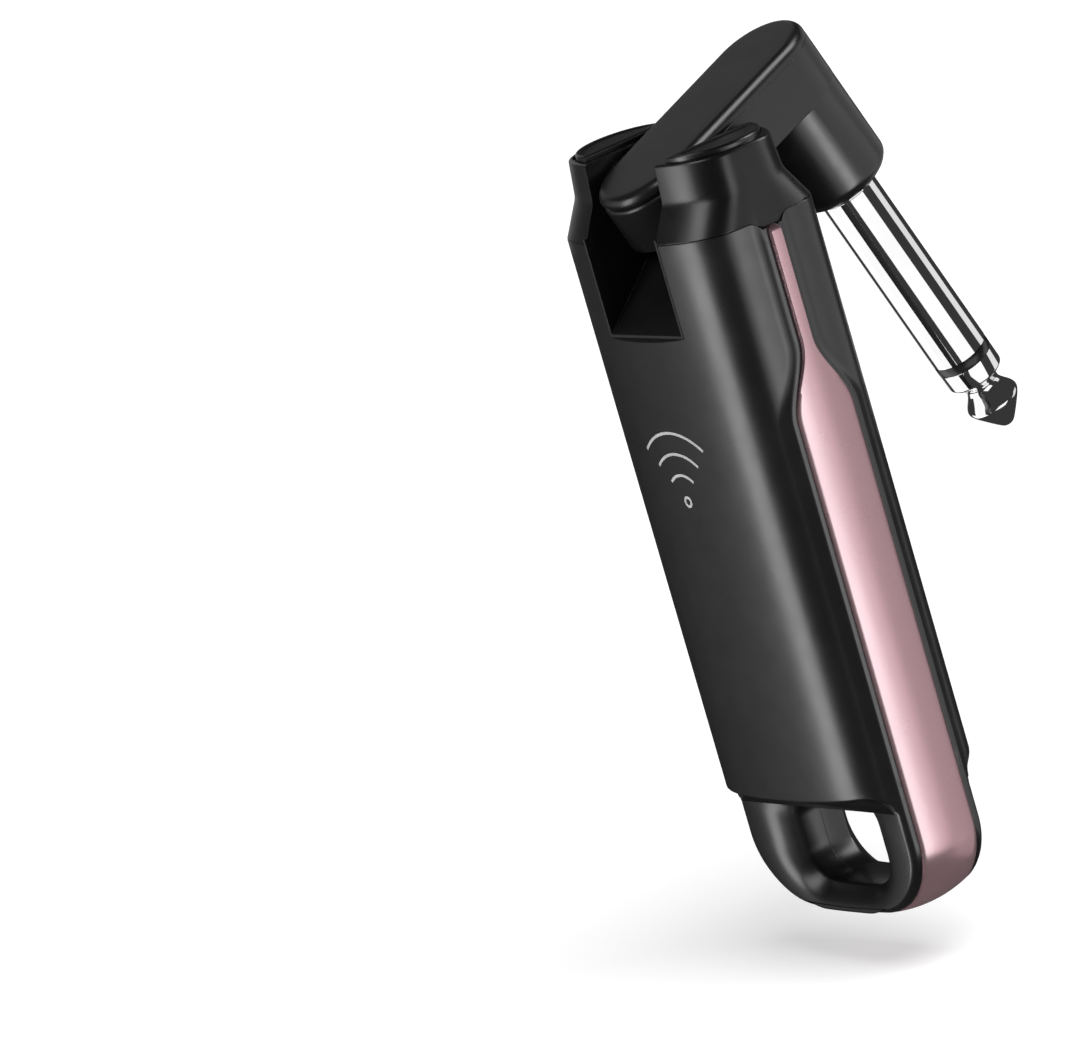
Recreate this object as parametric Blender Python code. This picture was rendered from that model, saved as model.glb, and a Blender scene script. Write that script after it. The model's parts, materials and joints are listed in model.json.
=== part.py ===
"""Wireless guitar transmitter with a swinging quarter-inch plug.

Frame: +Z runs up the body, -Y is the front panel, +X is the side with the light bar
and the charging port.  The origin is the middle of the rounded lower end.
Sizes below are in millimetres and are turned into metres when a mesh is made.
"""
from math import asin, atan2, cos, degrees, pi, radians, sin, sqrt

import bmesh
import bpy
from mathutils import Matrix, Vector

MM = 0.001
GAP = 0.3                  # clearance between pieces that touch
THIN_GAP = 0.12            # clearance between small inner pieces

# housing cross-section: an oblong, |x / half width| ** p + |y / half depth| ** q = 1
WIDE_POWER = 2.26          # p
BODY = (14.0, 9.28, 4.77)  # half width, half depth and q
PANEL_Y = BODY[1]          # half thickness in the middle of the panels
PANEL_FLAT = 2.6           # half width of the flat in the middle of each panel
WALL = 1.6
NOSE_WALL = 2.4            # wall at the rounded sides
NOSE_STEPS = 9             # facets from each flat to the side ridge
RIDGE_FOOT = 1.9           # where the side ridge begins beside the trim
RIDGE_CREST = 0.6          # and where it is highest

# heights of the housing
PANEL_FOOT_Z = 14.9        # lower edge of the front and back panels
UNDERSIDE_Z = 13.1         # foot of the chamfer under the panels
UNDERSIDE_INSET = 1.35
SHELL_TOP_Z = 75.3
CREASE_Z = 79.0            # crease between shoulder and ears
EAR_TOP_Z = 83.0
CAVITY_LOW_Z = 17.4
CAVITY_HIGH_Z = 70.6

# side trim
TRIM_X = 14.9              # crown of the trim on each side
TRIM_HALF_NARROW = 0.68
TRIM_HALF_WIDE = 3.6
TRIM_CROWN = 0.42          # how far its edges drop at full width
TRIM_THICK = 1.3
TRIM_TOP_Z = 74.5
FLARE_HIGH_Z = 62.2
FLARE_LOW_Z = 54.2
RIDGE_DROP = 0.55          # ridge shoulder below the trim's crown
CORNER_R = 8.6             # lower corners of the outline
BOTTOM_SAG = 0.9           # rise of the lower edge from its middle to the corners

# ears of the clevis, as the section over both of them
EAR_LOW = (13.6, 6.95, 4.1)     # at the crease
EAR_HIGH = (13.2, 6.65, 3.9)    # at their tops
EAR_EDGE = 0.2             # chamfer round the tops
HEAD_LIFT = 0.25           # the shoulder's lower edge above the shells
RIDGE_END = 0.3            # share of the shoulder where the side ridge has run out
SLOT_HALF = 6.2            # half width of the slot between the ears
TUB_HALF = 7.2             # half width of the clevis tub inside the shells
TUB_WALL = 0.9
TUB_BACK_Y = 8.6
RAMP_FOOT_Z = 65.31        # lower edge of the slot on the back panel
RAMP_ANGLE = radians(41.0)

# screws under the ear caps
SCREW_X = 10.3
SCREW_Y = 2.9
SCREW_R = 0.8
SCREW_HEAD_R = 1.45
SCREW_HEAD = 0.9
SCREW_TOP_Z = 81.3
SCREW_FOOT_Z = 71.4

# ear caps, D-shaped
CAP_FLAT_X = 7.3           # their flat side, toward the slot
CAP_REACH = 5.15
CAP_HALF_Y = 5.15
CAP_LOW_Z = 81.7
CAP_HIGH_Z = 83.6

# lanyard loop
LOOP_Y = 4.8               # half thickness of the flat ring
LOOP_INSET = 1.1           # ring edge inside the outline of the trim
HOLE_HALF = 7.2
HOLE_LOW_Z = 3.1
HOLE_HIGH_Z = 12.3
HOLE_R_LOW = 3.6
HOLE_R_HIGH = 2.6

# hinge and swinging arm, drawn with the plug folded parallel to the front
HINGE_Y = 1.0
HINGE_Z = 79.2
PIN_R = 1.25
PIN_HALF = 8.3
WASHER_R = 3.0
WASHER_SPAN = (5.35, 6.05)      # its faces from the middle
SEAT_FLOOR = 5.15
REST_SWING = 21.3          # degrees that the plug stands off the front panel
ARM_HALF = 5.78            # half width, and radius of the barrel and of the tail
ARM_REACH = 16.33          # hinge axis to plug axis
ARM_TOP = 3.65
ARM_UNDER = -3.35
COVER_SEAM = 2.1
TAIL_Y = 1.35              # centre of the rounded tail
BARREL_END = -14.25
BARREL_CHAMFER = 1.1
BARREL_HOLLOW_R = 4.35
BARREL_FLOOR = 2.1         # thickness of the barrel's lower end
SHANK_HOLE_R = 2.75
CHANNEL_HALF = 3.4         # lead channel from the barrel to the hinge
CHANNEL_END_Y = -3.2
CHANNEL_FLOOR = 1.2

# quarter-inch plug, heights along the plug axis below the hinge
SLEEVE_R = 3.175
SLEEVE_BORE = 1.55
SHANK_R = 2.45
SHANK_TOP = BARREL_END + 5.6
FLANGE_R = 3.625
FLANGE_TOP = BARREL_END - 0.12
FLANGE_THICK = 0.5
ROD_R = 0.85
NUT_ACROSS = 3.95          # centre to corner
NUT_BORE = 2.55
LEAD_R = 0.4
RING_Z = -37.1             # insulating ring, upper face
RING_HEIGHT = 1.0
TIP_END_Z = -47.1

# power button, light ring and light bar
BUTTON_Z = 27.6
BUTTON_FACE_Y = -9.1
BUTTON_R = 4.38
BUTTON_THICK = 1.2
BUTTON_EDGE = 0.15
STEM_R = 1.3
STEM_END = 2.15
BUTTON_TRAVEL = 0.35
SWITCH_HALF = 1.9
LIGHT_RING_IN = 4.68
LIGHT_RING_OUT = 5.13
FLANGE_OUT = 6.3           # flange of the light ring, behind the panel
FLANGE_Y = (-7.0, -6.5)
BAR_LOW_Z = 42.2
BAR_HIGH_Z = 59.0
BAR_HALF = 0.55
BAR_DEEP = 2.6
LED_BOARD_X = (10.6, 11.2)
LED_BOARD_HALF = 1.3

# charging port
PORT_Y = -3.05
PORT_Z = 66.0
PORT_LONG = 7.6
PORT_SHORT = 2.5
PORT_MOUTH_X = 13.75
PORT_DEPTH = 5.5
PORT_WALL = 0.25
PORT_BACK = 0.6
PORT_CUT = (1.3, 1.15)     # its two cut corners, along y and z
TONGUE_HALF = 1.75
CONTACT_PITCH = 0.65
CONTACT_HALF = 0.16

# inner boards and battery
BOARD_FRONT_Y = -5.5
BOARD_BACK_Y = -4.5
BOARD_HALF = 9.3
BOARD_LOW_Z = 18.4
BOARD_HIGH_Z = 70.2
BOARD_CORNER = 1.2
BOARD_SCREW_X = -6.6
BOARD_SCREW_Z = {"low": 20.6, "high": 68.0}
BOARD_SCREW_R = 0.6
BOARD_SCREW_HEAD_R = 1.2
POST_R = 1.7
POST_FOOT_Y = -8.0
BATTERY_HALF = 8.2
BATTERY_Y = (-3.6, 4.9)
BATTERY_Z = (19.6, 51.5)
BATTERY_CORNER = 1.6
BATTERY_EDGE = 0.6
BATTERY_LEAD_X = 1.4

ROUND = 40                 # sides of a round piece


def clear_scene():
    for item in list(bpy.data.objects):
        bpy.data.objects.remove(item, do_unlink=True)


# ---------------------------------------------------------------- materials

def material(name, colour, roughness, metallic=0.0):
    made = bpy.data.materials.new(name)
    made.use_nodes = True
    shader = made.node_tree.nodes["Principled BSDF"]
    shader.inputs["Base Color"].default_value = (*colour, 1.0)
    shader.inputs["Roughness"].default_value = roughness
    shader.inputs["Metallic"].default_value = metallic
    return made


PALETTE = {
    "black": ((0.020, 0.020, 0.021), 0.36, 0.0),
    "rose": ((0.72, 0.50, 0.52), 0.34, 0.85),
    "chrome": ((0.86, 0.86, 0.87), 0.06, 1.0),
    "steel": ((0.52, 0.52, 0.53), 0.30, 1.0),
    "brass": ((0.70, 0.55, 0.26), 0.30, 1.0),
    "green_light": ((0.02, 0.80, 0.20), 0.25, 0.0),
    "board": ((0.02, 0.16, 0.07), 0.45, 0.0),
    "foil": ((0.62, 0.63, 0.65), 0.38, 0.6),
    "foam": ((0.06, 0.06, 0.06), 0.95, 0.0),
    "red_wire": ((0.55, 0.02, 0.02), 0.45, 0.0),
    "white_plastic": ((0.78, 0.78, 0.74), 0.45, 0.0),
    "chip": ((0.03, 0.03, 0.035), 0.55, 0.0),
}


# ---------------------------------------------------------------- mesh helpers

def add_object(name, mesh, finish, parent=None):
    placed = bpy.data.objects.new(name, mesh)
    bpy.context.scene.collection.objects.link(placed)
    if finish:
        colour, roughness, metallic = PALETTE[finish]
        mesh.materials.append(material(name, colour, roughness, metallic))
    placed.parent = parent
    return placed


def make(name, points, faces, finish=None, parent=None, smooth=True):
    """A closed mesh from points in millimetres, its faces turned outward."""
    mesh = bpy.data.meshes.new(name)
    mesh.from_pydata([Vector(p) * MM for p in points], [], faces)
    shape = bmesh.new()
    shape.from_mesh(mesh)
    bmesh.ops.recalc_face_normals(shape, faces=shape.faces)
    shape.to_mesh(mesh)
    shape.free()
    if smooth:
        mesh.shade_smooth()
        mesh.set_sharp_from_angle(angle=radians(32))
    return add_object(name, mesh, finish, parent)


def loft_faces(count, rows):
    faces = []
    for row in range(rows - 1):
        for i in range(count):
            j = (i + 1) % count
            faces.append((row * count + i, row * count + j,
                          (row + 1) * count + j, (row + 1) * count + i))
    faces.append(tuple(reversed(range(count))))
    faces.append(tuple(range((rows - 1) * count, rows * count)))
    return faces


def loft(name, loops, finish=None, parent=None):
    """A skin over closed loops of equal length, capped at both ends."""
    points = [p for loop in loops for p in loop]
    return make(name, points, loft_faces(len(loops[0]), len(loops)), finish, parent)


AXES = {
    "x": lambda u, v, w: (w, u, v),
    "y": lambda u, v, w: (u, w, v),
    "z": lambda u, v, w: (u, v, w),
}


def prism(name, outline, axis, low, high, finish=None, parent=None):
    """An outline pulled along an axis: (y, z) for x, (x, z) for y, (x, y) for z."""
    place = AXES[axis]
    loops = [[place(u, v, w) for u, v in outline] for w in (low, high)]
    return loft(name, loops, finish, parent)


def box(name, low, high, finish=None, parent=None):
    outline = rectangle(low[0], high[0], low[1], high[1])
    return prism(name, outline, "z", low[2], high[2], finish, parent)


def turned(name, profile, axis, centre, finish=None, parent=None, sides=ROUND):
    """A profile of (radius, place) turned about a line along an axis.

    A profile that ends on the axis is capped flat; one that stays off it closes on
    itself and leaves a bore.
    """
    place = AXES[axis]
    bored = profile[0][0] > 0
    rims = profile if bored else profile[1:-1]
    points = []
    for radius, along in rims:
        for step in range(sides):
            angle = 2 * pi * step / sides
            u, v, w = place(radius * cos(angle), radius * sin(angle), along)
            points.append((u + centre[0], v + centre[1], w + centre[2]))
    rows = len(rims)
    faces = []
    for row in range(rows if bored else rows - 1):
        upper = (row + 1) % rows
        for i in range(sides):
            j = (i + 1) % sides
            faces.append((row * sides + i, row * sides + j,
                          upper * sides + j, upper * sides + i))
    if not bored:
        faces.append(tuple(range(sides)))
        faces.append(tuple(range((rows - 1) * sides, rows * sides)))
    return make(name, points, faces, finish, parent)


def cylinder(name, radius, axis, centre, low, high, finish=None, parent=None, sides=ROUND):
    profile = [(0, low), (radius, low), (radius, high), (0, high)]
    return turned(name, profile, axis, centre, finish, parent, sides)


def tube(name, inner, outer, axis, centre, low, high, finish=None, parent=None, sides=ROUND):
    profile = [(inner, low), (outer, low), (outer, high), (inner, high)]
    return turned(name, profile, axis, centre, finish, parent, sides)


def wire(name, route, radius, finish, parent=None):
    """A lead: a round curve through points in millimetres, with filled ends."""
    curve = bpy.data.curves.new(name, "CURVE")
    curve.dimensions = "3D"
    curve.bevel_depth = radius * MM
    curve.bevel_resolution = 2
    curve.use_fill_caps = True
    spline = curve.splines.new("POLY")
    spline.points.add(len(route) - 1)
    for slot, point in zip(spline.points, route):
        slot.co = (*(Vector(point) * MM), 1.0)
    return add_object(name, curve, finish, parent)


def boolean(target, tool, operation="DIFFERENCE"):
    """Cut or join with a guide object, which stays out of the model."""
    tool.hide_render = True
    tool.display_type = "WIRE"
    step = target.modifiers.new(tool.name, "BOOLEAN")
    step.operation = operation
    step.solver = "EXACT"
    step.object = tool


# ---------------------------------------------------------------- outlines

def rectangle(u0, u1, v0, v1):
    return [(u0, v0), (u1, v0), (u1, v1), (u0, v1)]


def arc(u, v, radius, start, end, steps):
    """Points of an arc in degrees, both ends kept."""
    turns = [radians(start + (end - start) * i / steps) for i in range(steps + 1)]
    return [(u + radius * cos(t), v + radius * sin(t)) for t in turns]


def rounded(u0, u1, v0, v1, radius, steps=4):
    return (arc(u1 - radius, v1 - radius, radius, 0, 90, steps)
            + arc(u0 + radius, v1 - radius, radius, 90, 180, steps)
            + arc(u0 + radius, v0 + radius, radius, 180, 270, steps)
            + arc(u1 - radius, v0 + radius, radius, 270, 360, steps))


def stadium(half_width, low, high, steps=8):
    return (arc(0, high - half_width, half_width, 0, 180, steps)
            + arc(0, low + half_width, half_width, 180, 360, steps))


def trim_half(z):
    """Half width of the trim at a height: narrow above, wide below a smooth flare."""
    share = (FLARE_HIGH_Z - z) / (FLARE_HIGH_Z - FLARE_LOW_Z)
    share = min(1.0, max(0.0, share))
    eased = share * share * (3 - 2 * share)
    return TRIM_HALF_NARROW + (TRIM_HALF_WIDE - TRIM_HALF_NARROW) * eased


def oblong_x(y, form):
    half, depth, power = form
    return half * (1 - (abs(y) / depth) ** power) ** (1 / WIDE_POWER)


def oblong_y(x, form):
    half, depth, power = form
    return depth * (1 - (abs(x) / half) ** WIDE_POWER) ** (1 / power)


def between(low, high, share):
    return tuple(a + (b - a) * share for a, b in zip(low, high))


def section(z, form, rib, ridge=0.0, inset=0.0):
    """A closed cross-section: an oblong with flat panel middles and a side ridge.

    rib is half the width of the trim at this height and ridge how far out the crest
    of the ridge stands; a crest inside the oblong leaves the side plain.
    """
    depth, power = form[1:]
    foot = rib + RIDGE_FOOT
    crest = rib + RIDGE_CREST
    first = asin((oblong_y(PANEL_FLAT, form) / depth) ** (power / 2))
    last = asin((foot / depth) ** (power / 2))
    corner = []
    for step in range(NOSE_STEPS + 1):
        turn = first + (last - first) * step / NOSE_STEPS
        y = depth * sin(turn) ** (2 / power)
        corner.append((oblong_x(y, form), y))
    for share in (0.35, 0.7, 1.0):
        y = foot + (crest - foot) * share
        plain = oblong_x(y, form)
        corner.append((plain + max(0.0, ridge - plain) * share ** 2, y))
    corner = [inset_point(point, depth, foot, inset) for point in corner]
    right = corner + [(x, -y) for x, y in reversed(corner)]
    return [(x, y, z) for x, y in right + [(-x, y) for x, y in reversed(right)]]


def inset_point(point, depth, foot, inset):
    """Draws the panels in while the ridge keeps its place."""
    x, y = point
    share = max(0.0, (y - foot) / (depth - foot))
    return (x - inset * 0.75 * share, y - inset * share)


def body_section(z, inset=0.0):
    return section(z, BODY, trim_half(z), TRIM_X - RIDGE_DROP, inset)


def outline(half, low, high, r_low, r_high, sag, corner=6, floor=7):
    """A closed upright outline in (x, z): round lower corners and a bowed foot."""
    right = (arc(half - r_high, high - r_high, r_high, 90, 0, corner)
             + arc(half - r_low, low + r_low, r_low, 0, -90, corner))
    foot = [((half - r_low) * (1 - 2 * i / floor), low) for i in range(1, floor)]
    closed = right + foot + [(-x, z) for x, z in reversed(right)]
    return [(x, bowed(x, z, half, low, r_low, sag)) for x, z in closed]


def bowed(x, z, half, low, radius, sag):
    share = max(0.0, 1 - (z - low) / radius)
    return z + sag * share * (x / half) ** 2


# ---------------------------------------------------------------- trim

def trim_route():
    """Points of the trim's outer line, with its outward normal, side to side."""
    route = []
    heights = [TRIM_TOP_Z, 68.0, FLARE_HIGH_Z]
    flare = 8
    heights += [FLARE_HIGH_Z + (FLARE_LOW_Z - FLARE_HIGH_Z) * i / flare
                for i in range(1, flare + 1)]
    heights += [40.0, 24.0]
    for z in heights:
        route.append((TRIM_X, z))
    corner = arc(TRIM_X - CORNER_R, CORNER_R, CORNER_R, 0, -90, 8)
    foot_steps = 9
    foot = [((TRIM_X - CORNER_R) * (1 - 2 * i / foot_steps), 0.0)
            for i in range(1, foot_steps)]
    right = route + corner
    whole = right + foot + [(-x, z) for x, z in reversed(right)]
    return [(x, bowed(x, z, TRIM_X, 0.0, CORNER_R, BOTTOM_SAG)) for x, z in whole]


def band(name, grow, lift, sink, finish=None):
    """The U of the trim: grown sideways, lifted outward and sunk inward."""
    route = trim_route()
    loops = []
    for i, (x, z) in enumerate(route):
        before = route[max(0, i - 1)]
        after = route[min(len(route) - 1, i + 1)]
        run = Vector((after[0] - before[0], after[1] - before[1])).normalized()
        normal = Vector((-run.y, run.x))
        if normal.dot(Vector((x, min(0.0, z - CORNER_R)))) < 0:
            normal = -normal
        if i in (0, len(route) - 1):
            z += grow
        half = trim_half(z) + grow
        drop = TRIM_CROWN * (half / TRIM_HALF_WIDE) ** 2
        loop = []
        for y, out in ((-half, lift - drop), (-half / 3, lift), (half / 3, lift),
                       (half, lift - drop), (half, -sink), (-half, -sink)):
            loop.append((x + normal.x * out, y, z + normal.y * out))
        loops.append(loop)
    return loft(name, loops, finish)


def build_trim():
    trim = band("trim_band", 0.0, 0.0, TRIM_THICK, "rose")
    slot = stadium(BAR_HALF + GAP, BAR_LOW_Z - GAP, BAR_HIGH_Z + GAP)
    boolean(trim, prism("bar_slot_cut", slot, "x", TRIM_X - 4, TRIM_X + 2))


# ---------------------------------------------------------------- clevis

def pocket_radius():
    """Reach of the arm's rounded tail from the hinge, with its clearance."""
    round_edge = 0.35
    return sqrt((TAIL_Y + ARM_HALF - round_edge) ** 2 + (ARM_TOP - round_edge) ** 2) + 0.35


def floor_line(offset):
    """The slot floor in (y, z): a pocket round the tail, then the ramp to the back."""
    radius = pocket_radius() + offset
    start = 180 - degrees(asin((SHELL_TOP_Z - HINGE_Z) / radius))
    run = Vector((-cos(RAMP_ANGLE), sin(RAMP_ANGLE)))
    normal = Vector((-sin(RAMP_ANGLE), -cos(RAMP_ANGLE)))
    base = Vector((PANEL_Y, RAMP_FOOT_Z)) + normal * offset
    to_hinge = Vector((HINGE_Y, HINGE_Z)) - base
    along = to_hinge.dot(run)
    across = (to_hinge - run * along).length
    meet = base + run * (along - sqrt(radius ** 2 - across ** 2))
    end = degrees(atan2(meet.y - HINGE_Z, meet.x - HINGE_Y)) % 360
    return arc(HINGE_Y, HINGE_Z, radius, start, end, 12), base, run


def floor_profile(offset, back_y, top_z, front_y=None):
    """A closed (y, z) outline of everything above the slot floor.

    Without front_y it ends where the pocket does, at the front of the tub.
    """
    curve, base, run = floor_line(offset)
    tail = base + run * ((back_y - base.x) / run.x)
    front = [(curve[0][0], top_z)]
    if front_y is not None:
        front = [(front_y, top_z), (front_y, curve[0][1])]
    return front + curve + [(tail.x, tail.y), (back_y, top_z)]


def build_head():
    low = SHELL_TOP_Z + HEAD_LIFT
    ridge_end = low + (CREASE_Z - low) * RIDGE_END
    edge = (EAR_HIGH[0] - EAR_EDGE, EAR_HIGH[1] - EAR_EDGE, EAR_HIGH[2])
    head = loft("hinge_head", [
        section(low, BODY, TRIM_HALF_NARROW, TRIM_X - RIDGE_DROP),
        section(ridge_end, between(BODY, EAR_LOW, RIDGE_END), TRIM_HALF_NARROW),
        section(CREASE_Z, EAR_LOW, TRIM_HALF_NARROW),
        section(EAR_TOP_Z - EAR_EDGE, EAR_HIGH, TRIM_HALF_NARROW),
        section(EAR_TOP_Z, edge, TRIM_HALF_NARROW),
    ], "black")
    tub = floor_profile(TUB_WALL, TUB_BACK_Y, SHELL_TOP_Z + 2 * HEAD_LIFT)
    boolean(head, prism("tub_body", tub, "x", -TUB_HALF, TUB_HALF), "UNION")
    slot = floor_profile(0.0, PANEL_Y + 4, EAR_TOP_Z + 4, -PANEL_Y - 4)
    boolean(head, prism("slot_cut", slot, "x", -SLOT_HALF, SLOT_HALF))
    bore = cylinder("pin_bore_cut", PIN_R + 0.05, "x", (0, HINGE_Y, HINGE_Z),
                    -PIN_HALF - GAP, PIN_HALF + GAP)
    boolean(head, bore)
    for side, word in ((1, "right"), (-1, "left")):
        cut_ear(head, side, word)


def cap_outline(side, grow):
    """The D of an ear cap, flat toward the slot."""
    flat = CAP_FLAT_X - grow
    bow = arc(0, 0, 1.0, 90, -90, 14)
    points = [(flat + (CAP_REACH + grow) * u, (CAP_HALF_Y + grow) * v) for u, v in bow]
    return [(side * x, y) for x, y in points]


def cut_ear(head, side, word):
    """The cap's recess and the stepped hole of the fixing screw below it."""
    recess = prism(f"cap_recess_{word}", cap_outline(side, GAP), "z",
                   CAP_LOW_Z - 0.2, EAR_TOP_Z + 1)
    boolean(head, recess)
    seat = cylinder(f"screw_seat_{word}", SCREW_HEAD_R + GAP, "z",
                    (side * SCREW_X, SCREW_Y, 0), SCREW_TOP_Z - SCREW_HEAD - THIN_GAP,
                    CAP_LOW_Z, sides=24)
    boolean(head, seat)
    hole = cylinder(f"screw_hole_{word}", SCREW_R + 0.2, "z",
                    (side * SCREW_X, SCREW_Y, 0), SHELL_TOP_Z - 3, SCREW_TOP_Z, sides=24)
    boolean(head, hole)


def build_ear_fittings():
    for side, word in ((1, "right"), (-1, "left")):
        prism(f"ear_cap_{word}", cap_outline(side, 0.0), "z", CAP_LOW_Z, CAP_HIGH_Z, "black")
        neck = SCREW_TOP_Z - SCREW_HEAD
        profile = [(0, SCREW_FOOT_Z), (SCREW_R - 0.3, SCREW_FOOT_Z),
                   (SCREW_R, SCREW_FOOT_Z + 0.5), (SCREW_R, neck), (SCREW_HEAD_R, neck),
                   (SCREW_HEAD_R, SCREW_TOP_Z - 0.25), (SCREW_HEAD_R - 0.3, SCREW_TOP_Z),
                   (0, SCREW_TOP_Z)]
        screw = turned(f"head_screw_{word}", profile, "z", (side * SCREW_X, SCREW_Y, 0),
                       "steel", sides=24)
        cross_recess(screw, (side * SCREW_X, SCREW_Y, SCREW_TOP_Z), word)


def cross_recess(screw, top, word):
    """The cross-shaped drive cut into a screw head."""
    arm, half, deep = 0.8, 0.17, 0.5
    shape = [(-half, -arm), (half, -arm), (half, -half), (arm, -half), (arm, half),
             (half, half), (half, arm), (-half, arm), (-half, half), (-arm, half),
             (-arm, -half), (-half, -half)]
    shape = [(x + top[0], y + top[1]) for x, y in shape]
    boolean(screw, prism(f"cross_cut_{word}", shape, "z", top[2] - deep, top[2] + 1))


def build_pin():
    centre = (0, HINGE_Y, HINGE_Z)
    cylinder("hinge_pin", PIN_R, "x", centre, -PIN_HALF, PIN_HALF, "steel")
    for side, word in ((1, "right"), (-1, "left")):
        inner, outer = sorted(side * face for face in WASHER_SPAN)
        tube(f"friction_washer_{word}", PIN_R + 0.1, WASHER_R, "x", centre, inner, outer,
             "steel")


# ---------------------------------------------------------------- shells

def body_blank(name):
    """The full outer form of the housing between its lower chamfer and its top."""
    flare = 8
    heights = [PANEL_FOOT_Z, FLARE_LOW_Z]
    heights += [FLARE_LOW_Z + (FLARE_HIGH_Z - FLARE_LOW_Z) * i / flare
                for i in range(1, flare + 1)]
    heights.append(SHELL_TOP_Z)
    loops = [body_section(UNDERSIDE_Z, inset=UNDERSIDE_INSET)]
    loops += [body_section(z) for z in heights]
    return loft(name, loops)


def loop_ring(name):
    """The flat ring round the lanyard hole, its upper bar buried in the housing."""
    hidden_top = PANEL_FOOT_Z + 1.3
    rings = []
    for inset, depth in ((0.75, 3.75), (LOOP_INSET, LOOP_Y)):
        rings.append((outline(TRIM_X - inset, inset, hidden_top, CORNER_R - inset, 0.5,
                              BOTTOM_SAG), depth))
    for grow, depth in ((3.2, LOOP_Y - 0.15), (2.3, LOOP_Y - 0.45), (1.3, LOOP_Y - 1.35),
                        (0.5, LOOP_Y - 1.75), (0.0, LOOP_Y - 2.3)):
        rings.append((outline(HOLE_HALF + grow, HOLE_LOW_Z - grow * 0.62,
                              HOLE_HIGH_Z + grow * 0.9, HOLE_R_LOW + grow,
                              HOLE_R_HIGH + grow * 0.5, 0.25), depth))
    count = len(rings[0][0])
    loops = [[(x, -depth, z) for x, z in ring] for ring, depth in rings]
    loops += [[(x, depth, z) for x, z in ring] for ring, depth in reversed(rings)]
    points = [p for loop in loops for p in loop]
    faces = []
    for row in range(len(loops)):
        other = (row + 1) % len(loops)
        for i in range(count):
            j = (i + 1) % count
            faces.append((row * count + i, row * count + j,
                          other * count + j, other * count + i))
    return make(name, points, faces)


def cavity(name):
    """The hollow inside the housing."""
    inner = (BODY[0] - NOSE_WALL, PANEL_Y - WALL, BODY[2])
    return loft(name, [section(z, inner, TRIM_HALF_NARROW)
                       for z in (CAVITY_LOW_Z, CAVITY_HIGH_Z)])


def half_space(name, side):
    """Everything on the far side of the seam between the two shells."""
    low, high = sorted((-side * GAP / 2, side * 40))
    return box(name, (-40, low, -20), (40, high, 120))


def build_shell(name, side):
    """One half of the housing: side is -1 for the front and 1 for the back."""
    shell = body_blank(name)
    colour, roughness, metallic = PALETTE["black"]
    shell.data.materials.append(material(name, colour, roughness, metallic))
    boolean(shell, loop_ring(f"{name}_loop"), "UNION")
    boolean(shell, cavity(f"{name}_cavity"))
    boolean(shell, band(f"{name}_trim_channel", GAP, 3.0, TRIM_THICK + GAP))
    tub = floor_profile(TUB_WALL + GAP, PANEL_Y + 4, EAR_TOP_Z)
    boolean(shell, prism(f"{name}_tub_cut", tub, "x", -TUB_HALF - GAP, TUB_HALF + GAP))
    boolean(shell, half_space(f"{name}_seam_cut", -side))
    bar = rectangle(-BAR_HALF - GAP, BAR_HALF + GAP, BAR_LOW_Z - GAP, BAR_HIGH_Z + GAP)
    boolean(shell, prism(f"{name}_bar_cut", bar, "x", 10.0, TRIM_X + 1))
    return shell


def build_front_shell():
    shell = build_shell("front_shell", -1)
    hole = cylinder("button_hole_cut", LIGHT_RING_OUT + GAP, "y", (0, 0, BUTTON_Z),
                    -PANEL_Y - 1, -PANEL_Y + 3)
    boolean(shell, hole)
    port = port_outline(GAP)
    boolean(shell, prism("port_cut", port, "x", PORT_MOUTH_X - PORT_DEPTH - 1,
                         PORT_MOUTH_X + 3))
    for word, z in BOARD_SCREW_Z.items():
        spot = (BOARD_SCREW_X, 0, z)
        post = cylinder(f"post_{word}", POST_R, "y", spot, POST_FOOT_Y,
                        BOARD_FRONT_Y - THIN_GAP, sides=24)
        boolean(shell, post, "UNION")
        pilot = cylinder(f"post_hole_{word}", BOARD_SCREW_R + THIN_GAP, "y", spot,
                         -PANEL_Y + WALL - 0.2, 0, sides=24)
        boolean(shell, pilot)


def build_back_shell():
    shell = build_shell("back_shell", 1)
    for side, word in ((1, "right"), (-1, "left")):
        hole = cylinder(f"shell_screw_hole_{word}", SCREW_R + THIN_GAP, "z",
                        (side * SCREW_X, SCREW_Y, 0), SCREW_FOOT_Z - GAP, EAR_TOP_Z,
                        sides=24)
        boolean(shell, hole)


# ---------------------------------------------------------------- swinging arm

def arm_outline(grow=0.0):
    """Plan of the arm: a round end over the barrel and a round tail."""
    radius = ARM_HALF + grow
    return (arc(0, TAIL_Y, radius, 0, 180, 14)
            + arc(0, -ARM_REACH, radius, 180, 360, 14))


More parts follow.
